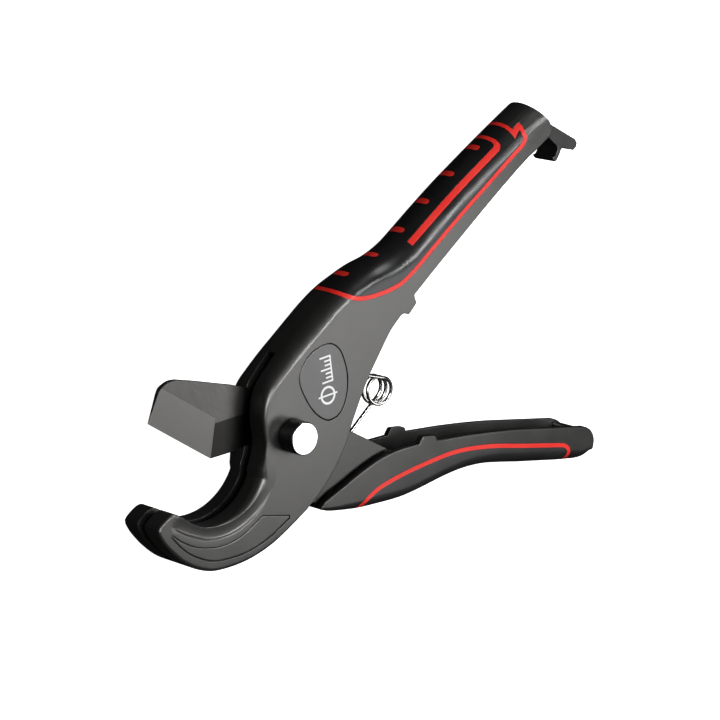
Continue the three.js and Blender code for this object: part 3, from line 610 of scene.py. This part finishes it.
def sunk(t):
    return crown([[p[0] + p[4] * t, p[1] + p[5] * t, *p[2:]] if ((p[3] >= 8 or p[0] > 40) and p[2] > 2) else p for p in body_outline], t, W - t)


body_outer = cut(crown(body_outline, 0, W, name="body_outer"), prism([[144.42, 17], [146.04, 6.4], [149, 6.4], [149, 17]], -1, W + 1))

hollow = [
    [-9.7, -30], [-9.7, -3], *arc(0, 0, 9.2, 198, 100, 40), *smooth([[2.5, 12.5], [9, 15.4], [20, 16.6], [32, 17.3],
    [42, 17.3], [50, 16.6], [58, 15.1], [65, 12.6], [72, 11.2], [82, 11.2], [95, 11.5], [110, 11.4], [126, 10.9], [138, 10.3], [149, 9.8]], 4),
    [149, -10], [60, -10], [45, -30],
]
hollow_high = [
    [40, 10], *smooth([[42, 19.2], [50, 18.4], [58, 17.1], [65, 15], [72, 13.8], [82, 13.9], [95, 14.2], [110, 14.1], [126, 13.6], [138, 13.0], [149, 12.4]], 4), [149, 8], [60, 8],
]
jaw_slot = [
    [15, 26], [15, 8], [-4, -8], [-12, -12], [-20, -13.2], [-30, -13], [-40, -9.6], [-50, -4.8], [-64, -2.4], [-64, 20], [-45, 20], [-30, 8], [-14, 8], [-14, 26],
]
body = copy_of(body_outer, "body_work")
cut(body,
    prism(hollow, CHEEK, W - CHEEK),
    prism(hollow_high, 4.6, W - 4.6),
    prism(jaw_slot, SLOT0, SLOT1),
    disc(0, 0, PIN_R + 0.25, -1, W + 1),
    disc(0, 0, 7.4, -1, 1.45))

# hook faces: a bead round the throat, a soft hollow behind it, and a raised crescent panel
land_run = [[-10, -23.6], [-27, -22.7], [-36.2, -20.0], [-44.2, -15.7], [-49.4, -11.4], [-53.8, -4.7], [-55.8, 1.4], [-56.6, 8.4],
            [-55.4, 11.6], [-51.4, 12.2], [-50.0, 8.4]]


def throat(r, a0, a1, n):
    return arc(-28.2, 15.4, r, a0, a1, n)


# the hollow behind the bead, deepest along the throat and fading out towards the cheek
groove = []
gp = smooth([[-53.0, 11.6], [-51.2, 8.4], [-49.6, 5.0], [-47.8, 2.0], [-45.31, -1.71]], 6)[:-1] + [[-28.2 + (24.2 + 2.2 * i / 60) * math.cos(math.radians(225 + 1.5 * i)), 15.4 + (24.2 + 2.2 * i / 60) * math.sin(math.radians(225 + 1.5 * i))] for i in range(61)]
for i, p in enumerate(gp):
    t = i / (len(gp) - 1)
    depth = min(1.0, t / 0.1) * min(1.0, (1 - t) / 0.42)
    depth = depth * depth * (3 - 2 * depth)
    groove.append((p[0], p[1], depth))


def groove_cutter(side):
    verts, faces = [], []
    S = 15
    for i, (x, y, d) in enumerate(groove):
        a, b = groove[max(0, i - 1)], groove[min(len(groove) - 1, i + 1)]
        dx, dy = b[0] - a[0], b[1] - a[1]
        L = math.hypot(dx, dy)
        nx, ny = dy / L, -dx / L
        for j in range(S):
            u = -1 + 2 * j / (S - 1)
            # steeper on the bead side, long fade on the outer side
            wide = 1.5 if u * side_sign < 0 else 6.5
            h = 0.5 * (1 + math.cos(math.pi * u))
            z = 0.04 - (0.55 * d + 0.04) * h
            verts.append((x + nx * u * wide, y + ny * u * wide, z))
        for j in range(S - 1, -1, -1):
            u = -1 + 2 * j / (S - 1)
            wide = 1.5 if u * side_sign < 0 else 6.5
            verts.append((x + nx * u * wide, y + ny * u * wide, 0.9))
    m = 2 * S
    n = len(groove)
    for i in range(n - 1):
        for j in range(m):
            l = (j + 1) % m
            faces.append((i * m + j, (i + 1) * m + j, (i + 1) * m + l, i * m + l))
    faces.append(tuple(range(m - 1, -1, -1)))
    faces.append(tuple(range((n - 1) * m, n * m)))
    ob = mesh_object("groove", verts, faces)
    if side > 0:
        ob.data.transform(Matrix.Translation((0, 0, W)))
    else:
        ob.data.transform(Matrix.Scale(-1, 4, (0, 0, 1)))
    return tidy_mesh(ob)


side_sign = -1.0
for s in (1, -1):
    cut(body, groove_cutter(s))

crescent_run = [*smooth([[-17.0, -21.9], [-27, -21.0], [-35.4, -18.6], [-42.6, -14.6], [-47.8, -10.4], [-52.0, -4.0], [-54.0, 1.6], [-54.9, 8.0]], 6),
                [-54.2, 8.4], *smooth([[-53.0, 4.4], [-50.6, -0.4], [-47.2, -4.7], [-41, -9.8], [-33.4, -12.4], [-24.4, -13]], 6), [-16.4, -21.2]]


def loop_normals(pts, depth, width):
    return crown_points([[[p[0], p[1], depth, width] for p in pts]])


for s in (1, -1):
    z0, z1 = (W - 1.2, W - 0.02) if s > 0 else (0.02, 1.2)
    line = smooth(crescent_run[:], 1)
    # thin engraved line all round the panel, then the panel itself a hair proud of the land
    ring = crown(loop_normals(crescent_run, 0.5, 0.4), z0, z1)
    outer = []
    nrm = crown_points([[[p[0], p[1], 0, 0] for p in crescent_run]])
    grown = [[p[0] - p[4] * 0.16, p[1] - p[5] * 0.16] for p in nrm]
    moat = prism(grown, W - 0.3, W + 1) if s > 0 else prism(grown, -1, 0.3)
    cut(body, moat)
    cut(ring, prism(jaw_slot, SLOT0, SLOT1))
    join(body, ring)

# pocket of the badge
egg = smooth([[29.6, 13.4], [21.3, 16.2], [13.5, 13.0], [11.2, 4.7], [11.8, -3.0], [14.6, -7.8], [19.6, -8.8], [24.5, -6.2],
              [28.6, -1.6], [31.0, 4.0], [31.7, 9.4]], 8, closed=True)


def egg_in(d):
    out = []
    for p in egg:
        dx, dy = p[0] - 21.2, p[1] - 3.4
        L = math.hypot(dx, dy)
        out.append([p[0] - dx / L * d, p[1] - dy / L * d])
    return out


cut(body, prism(egg, W - 0.8, W + 1))
cut(body, disc(ANCHOR[0], ANCHOR[1], 1.4, 1.2, W - 1.2, 40), disc(CATCH_P[0], CATCH_P[1], 1.65, 1.1, W - 1.1, 40))

# grip of the upper handle and its pipings
grip_low = smooth([[58, 9.2], [64, 7.2], [73.3, 6.8], [82.5, 7.3], [97.7, 7.9], [112.6, 8.1], [126.8, 8.3]], 8)
# rear end of the edge, where the piping folds back on itself: outer line and the line PIPE inside it
fold_out = [*smooth([[131, 8.25], [133.5, 8.7], [135.1, 9.8], [135.8, 11.5], [136.9, 13.6]], 4), [136.85, 14.2], [136.5, 14.5], [134.6, 14.5], [133.3, 14.3], [133.6, 15.6], [133.65, 27]]
fold_in = [*smooth([[130.8, 9.75], [132.7, 10.1], [133.8, 10.8], [134.3, 12.0], [134.8, 12.8]], 4), [134.8, 12.95], [134.6, 13.1], [133.4, 12.9], [131.1, 12.3], [132.05, 15.6], [132.1, 27]]
grip_front = [[41.6, 27], *smooth([[42.4, 23.2], [44.2, 19.6], [47, 16], [51.6, 12.6], [58, 9.2]], 8)[:-1], *grip_low]
grip_front_in = [[p[0], 27] if i == 0 else p for i, p in enumerate(offset_run(grip_front, -PIPE))]
grip_edge = [*grip_front, *fold_out]


def inner(pts, d):
    """Region drawn in by d, open at the top."""
    return [[p[0] + (q[0] - p[0]) * d / PIPE, p[1] + (q[1] - p[1]) * d / PIPE] for p, q in zip(pts, [*grip_front_in, *fold_in])]


cut(body, combine(prism(grip_edge, -1, W + 1), sunk(GRIP + GAP)))


def skin(region, t=GRIP):
    shell = copy_of(body_outer, "shell")
    combine(shell, prism(region, -1, W + 1), "INTERSECT")
    return combine(shell, sunk(t))


piping = combine(skin(inner(grip_edge, 0.05)), prism(inner(grip_edge, PIPE), -1, W + 1))
grip = skin(inner(grip_edge, PIPE + 0.05))
U_OUT = smooth([[123.7, 1.7], [125.5, 2.4], [126.3, 4.2]], 5)
u_band = [[76, 1.7], *U_OUT, *[[p[0], W - p[1]] for p in reversed(U_OUT)], [76, W - 1.7],
          [76, W - 3.3], *smooth([[123.1, W - 3.3], [124.3, W - 3.8], [124.7, W - 4.8]], 5), *smooth([[124.7, 4.8], [124.3, 3.8], [123.1, 3.3]], 5), [76, 3.3]]


def grow(pts, d):
    n = crown_points([[[p[0], p[1], 0, 0] for p in pts]])
    return [[p[0] - p[4] * d, p[1] - p[5] * d] for p in n]


def area(pts):
    return sum(pts[i - 1][0] * p[1] - p[0] * pts[i - 1][1] for i, p in enumerate(pts)) / 2


if area(u_band) > 0:
    u_band = u_band[::-1]
cut(grip, prism_y(grow(u_band, 0.05), 9.4, 24))
inner_piping = combine(skin([[60, 2], [60, 30], [140, 30], [140, 2]]), prism_y(u_band, 9.5, 24), "INTERSECT")

DASH = [120.2, 106.4, 92.6, 78.8, 65.4, 52.3]


def stadium(x, half, z0, z1):
    out = [[x + half * math.cos(math.pi * i / 12), z1 - half + half * math.sin(math.pi * i / 12)] for i in range(13)]
    out += [[x + half * math.cos(math.pi + math.pi * i / 12), z0 + half + half * math.sin(math.pi + math.pi * i / 12)] for i in range(13)]
    return out


for i, x in enumerate(DASH):
    d = combine(skin([[x - 6, 2], [x - 6, 30], [x + 6, 30], [x + 6, 2]], 0.5), prism_y(stadium(x, 1.15, 4.9, 11.9), 9.5, 26), "INTERSECT")
    pocket = combine(prism_y(stadium(x, 1.21, 4.84, 11.96), 9.5, 26), sunk(0.62))
    cut(grip, pocket)
    finish_piece(d, f"dash_{i + 1}", "piping_red", "frame", [f"grip_dash_{i + 1}"])
finish_piece(body, "cast_body", "painted_metal_dark", "frame", ["body"])
finish_piece(grip, "handle_grip", "grip_black", "frame", ["upper_grip"])
finish_piece(piping, "outer_piping", "piping_red", "frame", ["upper_piping_outer"])
finish_piece(inner_piping, "inner_piping", "piping_red", "frame", ["upper_piping_inner"])
drop(body_outer)

# badge: an inset plate with a softened rim, and a printed pictogram of a pipe and its cut
badge = crown(loop_normals(egg_in(0.22), 0.3, 0.3) if area(egg) < 0 else loop_normals(egg_in(0.22)[::-1], 0.3, 0.3), W - 0.68, W - 0.02)
finish_piece(badge, "badge", "badge_metal", "frame", ["badge_plate"])


def band(pts, half, z0, z1, closed=False):
    """Flat band of constant width along a plan line."""
    if closed:
        n = len(pts)
        nr = []
        for i in range(n):
            a, b = pts[i - 1], pts[(i + 1) % n]
            dx, dy = b[0] - a[0], b[1] - a[1]
            L = math.hypot(dx, dy)
            nr.append((dy / L, -dx / L))
        verts = []
        for p, (nx, ny) in zip(pts, nr):
            verts += [(p[0] + nx * half, p[1] + ny * half, z0), (p[0] - nx * half, p[1] - ny * half, z0),
                      (p[0] - nx * half, p[1] - ny * half, z1), (p[0] + nx * half, p[1] + ny * half, z1)]
        faces = []
        for i in range(n):
            k = (i + 1) % n
            for j in range(4):
                l = (j + 1) % 4
                faces.append((i * 4 + j, k * 4 + j, k * 4 + l, i * 4 + l))
        return tidy_mesh(mesh_object("band", verts, faces))
    nr = run_normals(pts)
    left = [[p[0] + n[0] * half, p[1] + n[1] * half] for p, n in zip(pts, nr)]
    right = [[p[0] - n[0] * half, p[1] - n[1] * half] for p, n in zip(pts, nr)]
    return prism(left + right[::-1], z0, z1)


def along_badge(u, v):
    """Point on the badge: u along its long axis towards the handle end, v across."""
    a = math.radians(62)
    cx, cy = 21.3, 4.2
    return [cx + u * math.cos(a) - v * math.sin(a), cy + u * math.sin(a) + v * math.cos(a)]


marks = []
ring = [along_badge(-5.0 + 2.75 * math.cos(t), 2.75 * math.sin(t)) for t in np.linspace(0, 2 * math.pi, 49)[:-1]]
marks.append(band(ring, 0.38, W - 0.1, W + 0.035, closed=True))
marks.append(band([along_badge(-5.0, -4.0), along_badge(-5.0, 4.0)], 0.28, W - 0.1, W + 0.035))
for k in range(7):
    tall = 4.4 if k % 3 == 0 else 2.6
    u = -0.5 + k * 1.4
    marks.append(band([along_badge(u, -2.6), along_badge(u, -2.6 + tall)], 0.28, W - 0.1, W + 0.035))
marks.append(band([along_badge(-0.78, -2.6), along_badge(8.18, -2.6)], 0.28, W - 0.1, W + 0.035))
printed = marks[0]
for m_ in marks[1:]:
    join(printed, m_)
finish_piece(printed, "badge_print", "print_white", "frame", (), planar=False)

# ------------------------------------------------------------------ lower handle
EDGE = (0.45, 0.5)
top_edge = cols([[-5.6, -28.9], [-3, -28.5], *smooth([[-0.9, -28.9], [5.6, -30.2], [14.3, -31.8], [22.3, -33.9], [29.6, -37.1], [37.9, -42.2]], 8),
                 [38.3, -41.9], [40.0, -41.3], [40.5, -41.2], [41.2, -41.7], [44.2, -44.2], [44.7, -44.8], [44.9, -45.4], [44.7, -46.0], [44.4, -46.6],
                 *smooth([[45.8, -48.0], [58.6, -57.95], [72.3, -69.5], [85.6, -81.85], [95.6, -91.2]], 8)], *EDGE)
low_end = cols(smooth([[96.5, -91.9], [97.6, -93.5], [98.4, -95.8], [97.9, -98.8], [96.4, -100.8], [95.0, -101.8]], 5), 0.6, 0.8)
bottom_cols = [[93.9, -102.2, 2.5, 3], [90.0, -101.6, 3.4, 4.5], [83.9, -97.2, 4.4, 6], [76.5, -90.3, 4.5, 6], [69.1, -83.4, 4.5, 6], [62.3, -76.8, 4.5, 6], [55.9, -71.0, 4.5, 6],
               [49.5, -66.5, 4.5, 6], [43.9, -63.4, 4.5, 6], [37.7, -60.5, 4.5, 6], [30.4, -57.4, 4.5, 6], [22.8, -53.6, 4.3, 5.5],
               [12.7, -46.9, 4, 5], [6.5, -42.3, 3.4, 4.5], [1.0, -37.4, 2.6, 3.5], [-3.2, -33.2, 1.8, 2.4], [-5.4, -30.2, 1.0, 1.2]]
low_bottom = smooth(bottom_cols, 8)
low_bottom = [[*p, *n] for p, n in zip(low_bottom, run_normals(low_bottom))]
low_outline = crown_points([top_edge, low_end, low_bottom])
low_outer = crown(low_outline, 0, W, name="low_outer")


def low_sunk(t):
    return crown([[p[0] + p[4] * t, p[1] + p[5] * t, *p[2:]] if p[2] > 0.7 or p[0] < -4 else p for p in low_outline], t, W - t)


floor_run = smooth([[26, -45.8], [33, -52.2], [40, -56.6], [46.5, -59.6], [52.2, -62.6], [58.6, -66.9], [65.2, -73.2], [72, -80.0], [79.4, -87.2], [86.4, -93.9]], 6)
channel = [[28.4, -30], [28.2, -37], [26.8, -41], *floor_run, [90.8, -98], [95, -106], [112, -100], [96, -78], [45, -30]]
low = copy_of(low_outer, "low_work")
cut(low, prism(channel, WALL, W - WALL), prism([[86.2, -92.5], [84.5, -110], [110, -110], [110, -85]], CATCH0 - 0.9, CATCH1 + 0.9))
neck_pts = [*arc(0, 0, 8, 205, -20, 60), [10.2, -4.5], [13.2, -6.6], [20.5, -19.4], [28.8, -36.5], [29.6, -42], [30, -48], [24, -50.5], [13, -44.5],
            [6, -39.5], [0.6, -34], [-3.2, -29.2], [-7.6, -25.6], [-8.6, -23], [-8.2, -8]]
neck = crown(loop_normals(neck_pts, 0.35, 0.35), NECK0, NECK1)
join(low, neck)
# groove along the foot of the neck, on both faces
foot_run = smooth([[-6, -29.4], [-0.9, -28.95], [5.6, -30.25], [14.3, -31.85], [22.3, -33.95], [30.5, -37.6]], 8)
foot = [*foot_run, *reversed(offset_run(foot_run, -1.25))]
cut(low, prism(foot, NECK0 - 0.2, NECK0 + 1.2), prism(foot, NECK1 - 1.2, NECK1 + 0.2))
neck_slot = [[-14, 14], [-14, -24.6], [6, -27.8], [13, -27.3], [17, -28.5], [24, -31.9], [34, -38.2], [42, -34], [30, 0], [14, 14]]
cut(low, prism(neck_slot, SLOT0, SLOT1), disc(0, 0, PIN_R + 0.25, -1, W + 1), disc(RIVET[0], RIVET[1], 2.25, -1, W + 1, 48), disc(BAR[0], BAR[1], 1.25, 0.9, W - 0.9, 40))

low_line = smooth([[3.0, -41.4], [5.9, -40.6], [9.6, -40.2], [13, -40.3], [17, -41.0], [24.7, -43.7], [35.9, -48.7], [48.8, -55.6], [60.4, -64.7], [73.4, -77.4], [84.6, -88.3]], 8)
low_edge = [[-6, -46], [0, -43], *low_line, *smooth([[84.6, -88.3], [86.3, -90.2], [87.1, -92.0], [86.9, -94.0], [84.6, -96.8]], 5)[1:], [78, -103]]
low_close = [[60, -100], [20, -75]]


def low_inner(d):
    return [*offset_run(low_edge, d), *low_close]


cut(low, combine(prism([*low_edge, *low_close], -1, W + 1), low_sunk(GRIP + GAP)))


def low_skin(region):
    shell = copy_of(low_outer, "shell")
    combine(shell, prism(region, -1, W + 1), "INTERSECT")
    return combine(shell, low_sunk(GRIP))


low_piping = combine(low_skin(low_inner(0.05)), prism(low_inner(PIPE), -1, W + 1))
low_grip = low_skin(low_inner(PIPE + 0.05))
finish_piece(low, "lower_lever", "lever_metal_painted_shade", "lever", ["lower_handle"])
finish_piece(low_grip, "lever_grip", "grip_grey", "lever", ["lower_grip"])
finish_piece(low_piping, "lever_piping", "piping_red", "lever", ["lower_piping"])
drop(low_outer)

# ------------------------------------------------------------------ blade
blade_outline = [[-35.5, 38.0], [-24.3, 11.0], *smooth([[-17.4, 6.9], [-12.6, 4.7], [-8.9, 2.4]], 4), *arc(0, 0, 8.2, 172, 238, 20), [-2.6, -9.4],
                 [-1.4, -14.6], *arc(RIVET[0], RIVET[1], 4.6, 190, 350, 24), [9.6, -6.5], *arc(0, 0, 8.2, -20, 48, 20), [5.2, 9.6], [1.4, 17.8], [-3.4, 24.2], [-13.3, 35.6], [-18.8, 41.6],
                 *smooth([[-20.2, 42.7], [-21.6, 43.4], [-23.6, 43.9], [-25.6, 43.9], [-27.2, 43.2]], 6)]
blade = prism(blade_outline, BLADE0, BLADE1)
TIPP, KNEE, HEEL = (-35.5, 38.0), (-24.3, 11.0), (-8.9, 2.4)


def bevel_wedge(a, b, land, side):
    """Wedge that grinds one face down to the cutting edge a-b; material lies to the left of a->b."""
    dx, dy = b[0] - a[0], b[1] - a[1]
    L = math.hypot(dx, dy)
    ux, uy = dx / L, dy / L
    nx, ny = -uy, ux
    sec = [(-0.6, 0.07), (land, 1.0), (land, 1.6), (-0.6, 1.6)]
    verts = []
    for e in (-30, L + 30):
        for s_, h in sec:
            verts.append((a[0] + ux * e + nx * s_, a[1] + uy * e + ny * s_, MID + side * h))
    faces = [(0, 1, 2, 3), (7, 6, 5, 4), (0, 4, 5, 1), (1, 5, 6, 2), (2, 6, 7, 3), (3, 7, 4, 0)]
    return tidy_mesh(mesh_object("wedge", verts, faces))


RIDGE = (-13.8, 22.6)
grind_a = [[-45, 45], [-36, 5], list(KNEE), list(RIDGE), [-18, 45]]
grind_b = [[-36, 5], [0, -8], [4, 18], list(RIDGE), list(KNEE)]
for s in (1, -1):
    cut(blade, combine(bevel_wedge(TIPP, KNEE, 12.0, s), prism(grind_a, 0, W), "INTERSECT"))
    cut(blade, combine(bevel_wedge(KNEE, HEEL, 11.4, s), prism(grind_b, 0, W), "INTERSECT"))
cut(blade, disc(0, 0, PIN_R + 0.25, -1, W + 1), disc(RIVET[0], RIVET[1], 2.25, -1, W + 1, 48))
finish_piece(blade, "knife", "blade_steel", "lever", ["blade"], angle=3, weighted=False)

# ------------------------------------------------------------------ pivot pin
barrel = lathe([(0, 1.0), (PIN_R - 0.02, 1.0), (PIN_R - 0.02, W + 0.12), (HEAD_R - 0.2, W + 0.12), (HEAD_R - 0.02, W + 0.3), (HEAD_R - 0.02, PIN_TOP - 0.75),
                (HEAD_R - 0.3, PIN_TOP - 0.45), (0, PIN_TOP - 0.45)], 0, 0, 128)
finish_piece(barrel, "pin_barrel", "pin_dark_reflection", "frame", ["pivot_pin"], planar=False)
face_prof = [(0, PIN_TOP - 0.44), (HEAD_R - 0.31, PIN_TOP - 0.44), (HEAD_R - 0.28, PIN_TOP - 0.3)]
for i in range(7):
    a = i / 6 * math.pi / 2
    face_prof.append((HEAD_R - 0.5 + 0.22 * math.cos(a), PIN_TOP - 0.22 + 0.22 * math.sin(a)))
face_prof.append((0, PIN_TOP))
finish_piece(lathe(face_prof, 0, 0, 128), "pin_end", "pin_chrome", "frame", ["pivot_pin"], planar=False)
tail = lathe([(0, 0.15), (4.0, 0.15), (4.3, 0.25), (4.55, 0.5), (4.55, 1.35), (4.2, 1.5), (0, 1.5)], 0, 0, 96)
finish_piece(tail, "pin_tail", "pin_steel", "frame", ["pivot_pin"], planar=False)

# ------------------------------------------------------------------ spring: one wire, in place of the coil and its leg
A0, TURN = 46.0, -850.0


def coil_point(t):
    a = math.radians(A0 + TURN * t)
    return (COIL[0] + COIL_R * math.cos(a), COIL[1] + COIL_R * math.sin(a), COIL_Z1 + (COIL_Z0 - COIL_Z1) * t)


T1, T2 = coil_point(0), coil_point(1)
wire_pts = []
eye_r = 1.25 + WIRE + 0.2
base_a = math.atan2(T1[1] - ANCHOR[1], T1[0] - ANCHOR[0])
for i in range(19):
    a = base_a + math.pi / 2 - math.radians(-250 + 250 * i / 18)
    wire_pts.append((ANCHOR[0] + eye_r * math.cos(a), ANCHOR[1] + eye_r * math.sin(a), COIL_Z1 - 0.02 * (18 - i) / 2))
last = wire_pts[-1]
for f in (0.15, 0.35, 0.55, 0.75, 0.9):
    wire_pts.append((last[0] + (T1[0] - last[0]) * f, last[1] + (T1[1] - last[1]) * f, COIL_Z1))
for i in range(97):
    wire_pts.append(coil_point(i / 96))
for f in (0.1, 0.3, 0.5, 0.7, 0.9, 1.0):
    wire_pts.append((T2[0] + (LEG_TIP[0] - T2[0]) * f, T2[1] + (LEG_TIP[1] - T2[1]) * f, COIL_Z0))


def tube(points, radius, sides=14, per=2, name="tube"):
    pts = [np.array(p[:3], float) for p in smooth([[*p] for p in points], per)]
    verts, faces = [], []
    t_prev, nrm = None, None
    n = len(pts)
    for i, p in enumerate(pts):
        t = pts[min(n - 1, i + 1)] - pts[max(0, i - 1)]
        t = t / np.linalg.norm(t)
        if nrm is None:
            nrm = np.cross(t, [0, 0, 1.0])
        nrm = nrm - t * (nrm @ t)
        nrm = nrm / np.linalg.norm(nrm)
        b = np.cross(t, nrm)
        for j in range(sides):
            a = 2 * math.pi * j / sides
            verts.append(p + radius * (math.cos(a) * nrm + math.sin(a) * b))
    for i in range(n - 1):
        for j in range(sides):
            l = (j + 1) % sides
            faces.append((i * sides + j, (i + 1) * sides + j, (i + 1) * sides + l, i * sides + l))
    faces.append(tuple(range(sides - 1, -1, -1)))
    faces.append(tuple(range((n - 1) * sides, n * sides)))
    return tidy_mesh(mesh_object(name, verts, faces), 1e-5)


wire = tube(wire_pts, WIRE, 14, 2)
wire.name = wire.data.name = "return_spring"
wire.data.transform(TO_FRAME)
wire.data.polygons.foreach_set("use_smooth", [True] * len(wire.data.polygons))
wire.data.set_sharp_from_angle(angle=math.radians(50))
wire.data.materials.append(M["spring_wire"])
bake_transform(wire)
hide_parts("spring_coil", "spring_leg")

# ------------------------------------------------------------------ catch
def cp(r, a):
    return [CATCH_P[0] + r * math.cos(math.radians(a)), CATCH_P[1] + r * math.sin(math.radians(a))]


catch_outline = [
    *arc(CATCH_P[0], CATCH_P[1], 3.2, 250, 90, 30), [144.0, 9.6], [147.6, 5.0], [149.6, 1.0], [151.8, -3.6], [154.4, -9.0], [154.2, -10.6], [153.0, -11.5], [151.4, -11.4],
    [149.2, -8.6], [148.2, -7.4], cp(16.4, -61.5), cp(16.5, -66), cp(16.5, -71), cp(16.6, -75), cp(16.2, -77.6), cp(15.2, -78.2), cp(14.4, -77.0), cp(14.3, -75.4), cp(14.9, -73.6), cp(14.9, -69), cp(14.9, -64), cp(14.5, -60.6),
    cp(13.4, -58), [145.6, -1.6], [144.6, 1.0], [142.4, 3.4],
]
catch = crown(loop_normals(catch_outline, 0.3, 0.3), CATCH0, CATCH1, steps=4)
cut(catch, disc(CATCH_P[0], CATCH_P[1], 1.65, 0, W, 48))
finish_piece(catch, "end_catch", "catch_metal", "catch", ["catch"])

# ------------------------------------------------------------------ CAD nodes that stay, with their finishes
KEPT = {
    "pivot_clip": "clip_steel", "spring_anchor_pin": "pin_steel", "catch_pin": "pin_steel", "latch_bar": "pin_steel",
    "blade_rivet": "pin_steel", "blade_washer_far": "washer_steel", "blade_washer_near": "washer_steel",
}
for name, mat in KEPT.items():
    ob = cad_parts[name]
    ob.data.materials.clear()
    ob.data.materials.append(M[mat])

# ------------------------------------------------------------------ floor, light and camera
floor = mesh_object("floor", [(-3, -3, -0.0002), (3, -3, -0.0002), (3, 3, -0.0002), (-3, 3, -0.0002)], [(0, 1, 2, 3)])
fm, fnt, fp = new_material("pale_floor")
fvec = coords(fnt, (6, 6, 6))
fnt.links.new(mixed_colour(fnt, ramp(fnt, noise(fnt, fvec, 1.0), 0.3, 0.7, 0, 1), (0.9, 0.9, 0.9), (0.92, 0.92, 0.92)), fp.inputs["Base Color"])
fp.inputs["Roughness"].default_value = 0.9
fp.inputs["Specular IOR Level"].default_value = 0.1
fp.inputs["Emission Color"].default_value = (1, 1, 1, 1)
fp.inputs["Emission Strength"].default_value = 1.05
floor.data.materials.append(fm)
floor.visible_glossy = False
floor.visible_diffuse = False

world = bpy.data.worlds.new("studio")
bpy.context.scene.world = world
world.use_nodes = True
wnt = world.node_tree
bg = wnt.nodes["Background"]
# a room that is lighter on the side of the lamps than behind the spine
wtc = node(wnt, "ShaderNodeTexCoord")
wdot = node(wnt, "ShaderNodeVectorMath", operation="DOT_PRODUCT")
wdot.inputs[1].default_value = Vector((0.2, -0.5, 0.84)).normalized()
wnt.links.new(wtc.outputs["Generated"], wdot.inputs[0])
wnt.links.new(ramp(wnt, wdot.outputs["Value"], 0.2, 1.0, WORLD_DARK, WORLD_LIGHT), bg.inputs["Strength"])
bg.inputs["Color"].default_value = (1, 1, 1, 1)


def softbox(name, direction, distance, size, power, target=(0.0, 0.02, 0.01)):
    """Rectangular lamp facing the target, its first side along the tool's length."""
    light = bpy.data.lights.new(name, "AREA")
    light.shape = "RECTANGLE"
    light.size, light.size_y = size
    light.energy = power
    ob = bpy.data.objects.new(name, light)
    d = Vector(direction).normalized()
    ob.location = Vector(target) + d * distance
    side = Vector((1, 0, 0)) - d * d.x
    side.normalize()
    over = d.cross(side)
    ob.rotation_mode = "QUATERNION"
    ob.rotation_quaternion = Matrix((side, over, d)).transposed().to_quaternion()
    bpy.context.scene.collection.objects.link(ob)
    return ob


softbox("key", (0.386, -0.05, 0.92), 0.9, (0.42, 0.08), 3.2, target=(-0.01, 0.05, 0.018))
softbox("fill", (0.386, -0.546, 0.744), 0.38, (0.2, 0.08), 0.19, target=(-0.02, 0.058, 0.018))
softbox("wash", (-0.2, 0.4, 0.89), 1.2, (0.5, 0.5), 8.0)
softbox("side", (0.88, 0.36, 0.3), 1.2, (0.5, 0.5), 4.0)

camera = bpy.data.objects.new("camera", bpy.data.cameras.new("camera"))
bpy.context.scene.collection.objects.link(camera)
bpy.context.scene.camera = camera
camera.data.lens = 170
camera.data.sensor_width = 36
camera.data.clip_start, camera.data.clip_end = 0.05, 50
loc = at(-395.13482613408104, 608.0228353758316, 849.0392821002562)
right = Vector((0.6162964368202488, -0.44776557120807975, 0.6478307612358086))
up = Vector((0.6863427757700659, 0.7087648691642785, -0.1630519990272559))
back = Vector((-0.3861506132468342, 0.5451223289127362, 0.7441299284465369))
camera.matrix_world = Matrix(((right.x, up.x, back.x, loc.x), (right.y, up.y, back.y, loc.y), (right.z, up.z, back.z, loc.z), (0, 0, 0, 1)))

bpy.context.scene.view_settings.view_transform = "Standard"
